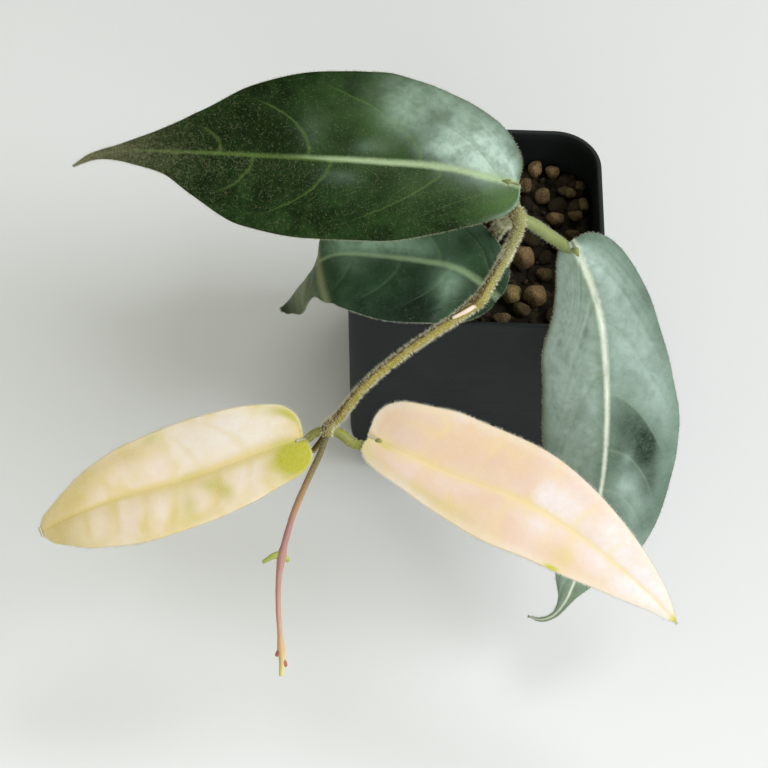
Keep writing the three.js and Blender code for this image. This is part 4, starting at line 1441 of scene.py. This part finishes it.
def make_leaf(name, settings, materials, fuzz, hairs):
    """A leaf with its stalk, and its hairs as a piece of their own."""
    leaf = LEAVES[name]
    blade = Blade(leaf)
    bm = bmesh.new()
    upper, lines, margins = make_blade(bm, blade, settings, hairs["soft"])
    rand = random.Random(name)
    fringe = list(margin_hairs(margins, hairs["fringe"], rand))
    nap = list(face_hairs(upper, lines, hairs["face"], hairs["nap"], hairs["density"], rand))
    stalk = Route(leaf["stalk"])
    add_tube(bm, stalk, 18, 40, grooved, 1)
    if name != "leaf_low":
        add_tube(bm, Route(joint_rows(leaf, blade)), 14, 12, material=1)
    publish(name.replace("leaf", "hoya_leaf"), bm, materials, [name])
    down = stem_hairs(stalk, hairs["stalk"], 0.8, rand, 0.02, 0.9)
    publish_hairs(name.replace("leaf", "leaf_hairs"), [fringe, nap, down], fuzz)


class HOYA_OT_dark_leaves(bpy.types.Operator):
    """Makes the three mature leaves"""

    bl_idname = "hoya.dark_leaves"
    bl_label = "Mature leaves"

    def execute(self, context):
        settings = context.scene.hoya_leaf
        stalk = plain_growth("Green leaf stalk", (0.30, 0.34, 0.12), (0.12, 0.15, 0.035))
        gold = hair("Gold leaf hair", (0.43, 0.42, 0.21))
        grey = hair("Grey leaf hair", (0.45, 0.49, 0.36))
        # On the upper leaf, the lively colour between the veins is partly painted sheen, a green haze of
        # reflection.
        upper = dark_blade("Upper leaf", {
            "green": settings.green, "light": settings.light, "lively": (0.10, 0.19, 0.065),
            "painted_sheen": (0.47, 0.62, 0.55), "deep": (0.005, 0.013, 0.003), "warm": (0.085, 0.09, 0.045),
            "vein": (0.15, 0.25, 0.06), "veins": 0.28, "rib": (0.46, 0.59, 0.36), "ribs": 0.78,
            "rib_run": 2.0,
        })
        # The right leaf is painted sheen over most of its face: its colours are far paler than a dark
        # leaf's, standing in for the lamps' reflection.
        right = dark_blade("Right leaf", {
            "green": (0.10, 0.155, 0.118), "light": (0.165, 0.235, 0.19), "lively": (0.20, 0.31, 0.14),
            "painted_sheen": (0.43, 0.56, 0.53), "deep": (0.014, 0.03, 0.018), "warm": (0.16, 0.18, 0.10),
            "vein": (0.40, 0.52, 0.38), "veins": 0.18, "rib": (0.80, 0.88, 0.76), "ribs": 0.95,
            "rib_run": 9.0,
        })
        low = dark_blade("Low leaf", {
            "green": (0.020, 0.047, 0.024), "light": (0.038, 0.080, 0.045), "lively": (0.05, 0.11, 0.04),
            "painted_sheen": (0.32, 0.48, 0.36), "deep": (0.010, 0.018, 0.012), "warm": (0.31, 0.34, 0.19),
            "vein": (0.15, 0.24, 0.12), "veins": 0.25, "rib": (0.33, 0.46, 0.27), "ribs": 0.65,
            "rib_run": 9.0,
        })
        looks = {
            "leaf_top": (upper, gold, 9000, towards_tip),
            "leaf_right": (right, grey, 1200, evenly),
            "leaf_low": (low, grey, 400, evenly),
        }
        for name, (blade, fuzz, count, density) in looks.items():
            hairs = {"fringe": 0.8, "face": count, "nap": 1.3, "density": density, "stalk": 500, "soft": 1}
            make_leaf(name, settings, [blade, stalk], fuzz, hairs)
        return {"FINISHED"}


class HOYA_OT_pale_leaves(bpy.types.Operator):
    """Makes the two new leaves"""

    bl_idname = "hoya.pale_leaves"
    bl_label = "New leaves"

    def execute(self, context):
        settings = context.scene.hoya_leaf
        stalk = plain_growth("Young leaf stalk", (0.36, 0.37, 0.07), (0.10, 0.11, 0.015))
        fuzz = hair("Pale leaf hair", (0.95, 0.90, 0.76))
        hairs = {"fringe": 0.9, "face": 600, "nap": 0.6, "density": evenly, "stalk": 140, "soft": 0.15}
        looks = {
            "leaf_pale_left": pale_blade("Left new leaf", settings, {
                "base": (0.97, 0.83, 0.65), "blush": settings.blush, "deep": (0.90, 0.70, 0.50),
                "painted_sheen": (1, 0.92, 0.90), "margin": (0.98, 0.88, 0.70), "cells": 85.0, "net": 0.6,
                "bands": 0.65, "sheen": 0.3,
            }),
            "leaf_pale_right": pale_blade("Right new leaf", settings, {
                "base": (0.76, 0.56, 0.44), "blush": (0.77, 0.61, 0.55), "deep": (0.73, 0.51, 0.36),
                "painted_sheen": (0.82, 0.77, 0.81), "margin": (0.82, 0.74, 0.64), "cells": 80.0, "net": 0.3,
                "bands": 0.25, "sheen": 0.15,
            }),
        }
        for name, blade in looks.items():
            make_leaf(name, settings, [blade, stalk], fuzz, hairs)
        return {"FINISHED"}


class HOYA_OT_stage(bpy.types.Operator):
    """Makes the floor, the lights and the camera"""

    bl_idname = "hoya.stage"
    bl_label = "Stage"

    CAMERA_SPOT = (-0.02606, -0.37648, 0.53684)
    CAMERA_PITCH = 55.2
    CAMERA_ROLL = 1.85
    FOCAL_LENGTH = 93.75
    MIDDLE = (-0.02, -0.05, 0.08)

    def execute(self, context):
        settings = context.scene.hoya_stage
        self.floor(settings)
        self.light("key", (1.4, -0.3, 1.2), 1.3, settings.key, (0.98, 0.99, 1))
        self.light("overhead", (0.35, 0.4, 1.45), 0.5, settings.overhead, (0.97, 1, 0.99))
        self.light("front", (0.1, -1.0, 0.6), 0.8, settings.front, (0.99, 1, 0.97))
        world = bpy.data.worlds.new("Studio")
        world.use_nodes = True
        world.node_tree.nodes["Background"].inputs[0].default_value = (0.99, 1, 0.78, 1)
        world.node_tree.nodes["Background"].inputs[1].default_value = settings.sky
        context.scene.world = world
        context.scene.view_settings.view_transform = "Standard"
        data = bpy.data.cameras.new("camera")
        data.sensor_width = 36
        data.lens = self.FOCAL_LENGTH
        data.clip_start = 0.01
        camera = bpy.data.objects.new("camera", data)
        camera.location = self.CAMERA_SPOT
        camera.rotation_mode = "QUATERNION"
        tilt = Quaternion((1, 0, 0), math.radians(90 - self.CAMERA_PITCH))
        camera.rotation_quaternion = tilt @ Quaternion((0, 0, 1), math.radians(self.CAMERA_ROLL))
        context.scene.collection.objects.link(camera)
        context.scene.camera = camera
        return {"FINISHED"}

    def floor(self, settings):
        def build(shader):
            place = shader.place()
            fine, broad = speckle(shader, place, 160.0)
            x, y, _ = shader.parts(place)
            # Painted shade: the floor darkens towards the back right, where the key light falls brightest.
            painted_shade_slope = shader.fade(shader.plus(x, y), -0.3, 0.2, 0.0, 0.7)
            colour = shader.layered(
                settings.floor, (broad, tinted(settings.floor, 0.96)), (painted_shade_slope, tinted(settings.floor, 0.8)))
            return {"Base Color": colour, "Roughness": 0.7, "Normal": shader.bump(fine, 0.15, 0.5)}
        bm = bmesh.new()
        bmesh.ops.create_grid(bm, x_segments=4, y_segments=4, size=2)
        mesh = bpy.data.meshes.new("floor")
        bm.to_mesh(mesh)
        bm.free()
        mesh.materials.append(material("Pale floor", build))
        floor = bpy.data.objects.new("floor", mesh)
        bpy.context.scene.collection.objects.link(floor)
        floor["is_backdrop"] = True

    def light(self, name, spot, size, power, colour):
        data = bpy.data.lights.new(name, "AREA")
        data.shape = "DISK"
        data.size = size
        data.energy = power
        data.color = colour
        lamp = bpy.data.objects.new(name, data)
        lamp.location = spot
        lamp.rotation_mode = "QUATERNION"
        lamp.rotation_quaternion = (Vector(self.MIDDLE) - Vector(spot)).to_track_quat("-Z", "Y")
        bpy.context.scene.collection.objects.link(lamp)


class HOYA_PT_panel(bpy.types.Panel):
    """Lists the settings and the steps"""

    bl_idname = "HOYA_PT_panel"
    bl_label = "Potted hoya"
    bl_space_type = "VIEW_3D"
    bl_region_type = "UI"
    bl_category = "Hoya"

    def draw(self, context):
        for label, holder in SETTINGS:
            box = self.layout.box()
            settings = getattr(context.scene, label)
            for name in holder.__annotations__:
                box.prop(settings, name)
        for step in STEPS:
            self.layout.operator(step.bl_idname)


SETTINGS = (
    ("hoya_pot", HoyaPotSettings),
    ("hoya_substrate", HoyaSubstrateSettings),
    ("hoya_stem", HoyaStemSettings),
    ("hoya_leaf", HoyaLeafSettings),
    ("hoya_stage", HoyaStageSettings),
)
STEPS = (
    HOYA_OT_pot, HOYA_OT_granules, HOYA_OT_stem, HOYA_OT_shoot,
    HOYA_OT_dark_leaves, HOYA_OT_pale_leaves, HOYA_OT_stage,
)


def register():
    for _, holder in SETTINGS:
        bpy.utils.register_class(holder)
    for step in (*STEPS, HOYA_PT_panel):
        bpy.utils.register_class(step)
    for label, holder in SETTINGS:
        setattr(bpy.types.Scene, label, PointerProperty(type=holder))


def unregister():
    for label, _ in SETTINGS:
        delattr(bpy.types.Scene, label)
    for step in reversed((*STEPS, HOYA_PT_panel)):
        bpy.utils.unregister_class(step)
    for _, holder in reversed(SETTINGS):
        bpy.utils.unregister_class(holder)


def main():
    register()
    bpy.ops.hoya.pot()
    bpy.ops.hoya.granules()
    bpy.ops.hoya.stem()
    bpy.ops.hoya.shoot()
    bpy.ops.hoya.dark_leaves()
    bpy.ops.hoya.pale_leaves()
    bpy.ops.hoya.stage()
    boxes = {"cad": CAD_BOX, "visual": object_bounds()}
    {name: [list(corner) for corner in box] for name, box in boxes.items()}


if __name__ == "__main__":
    main()
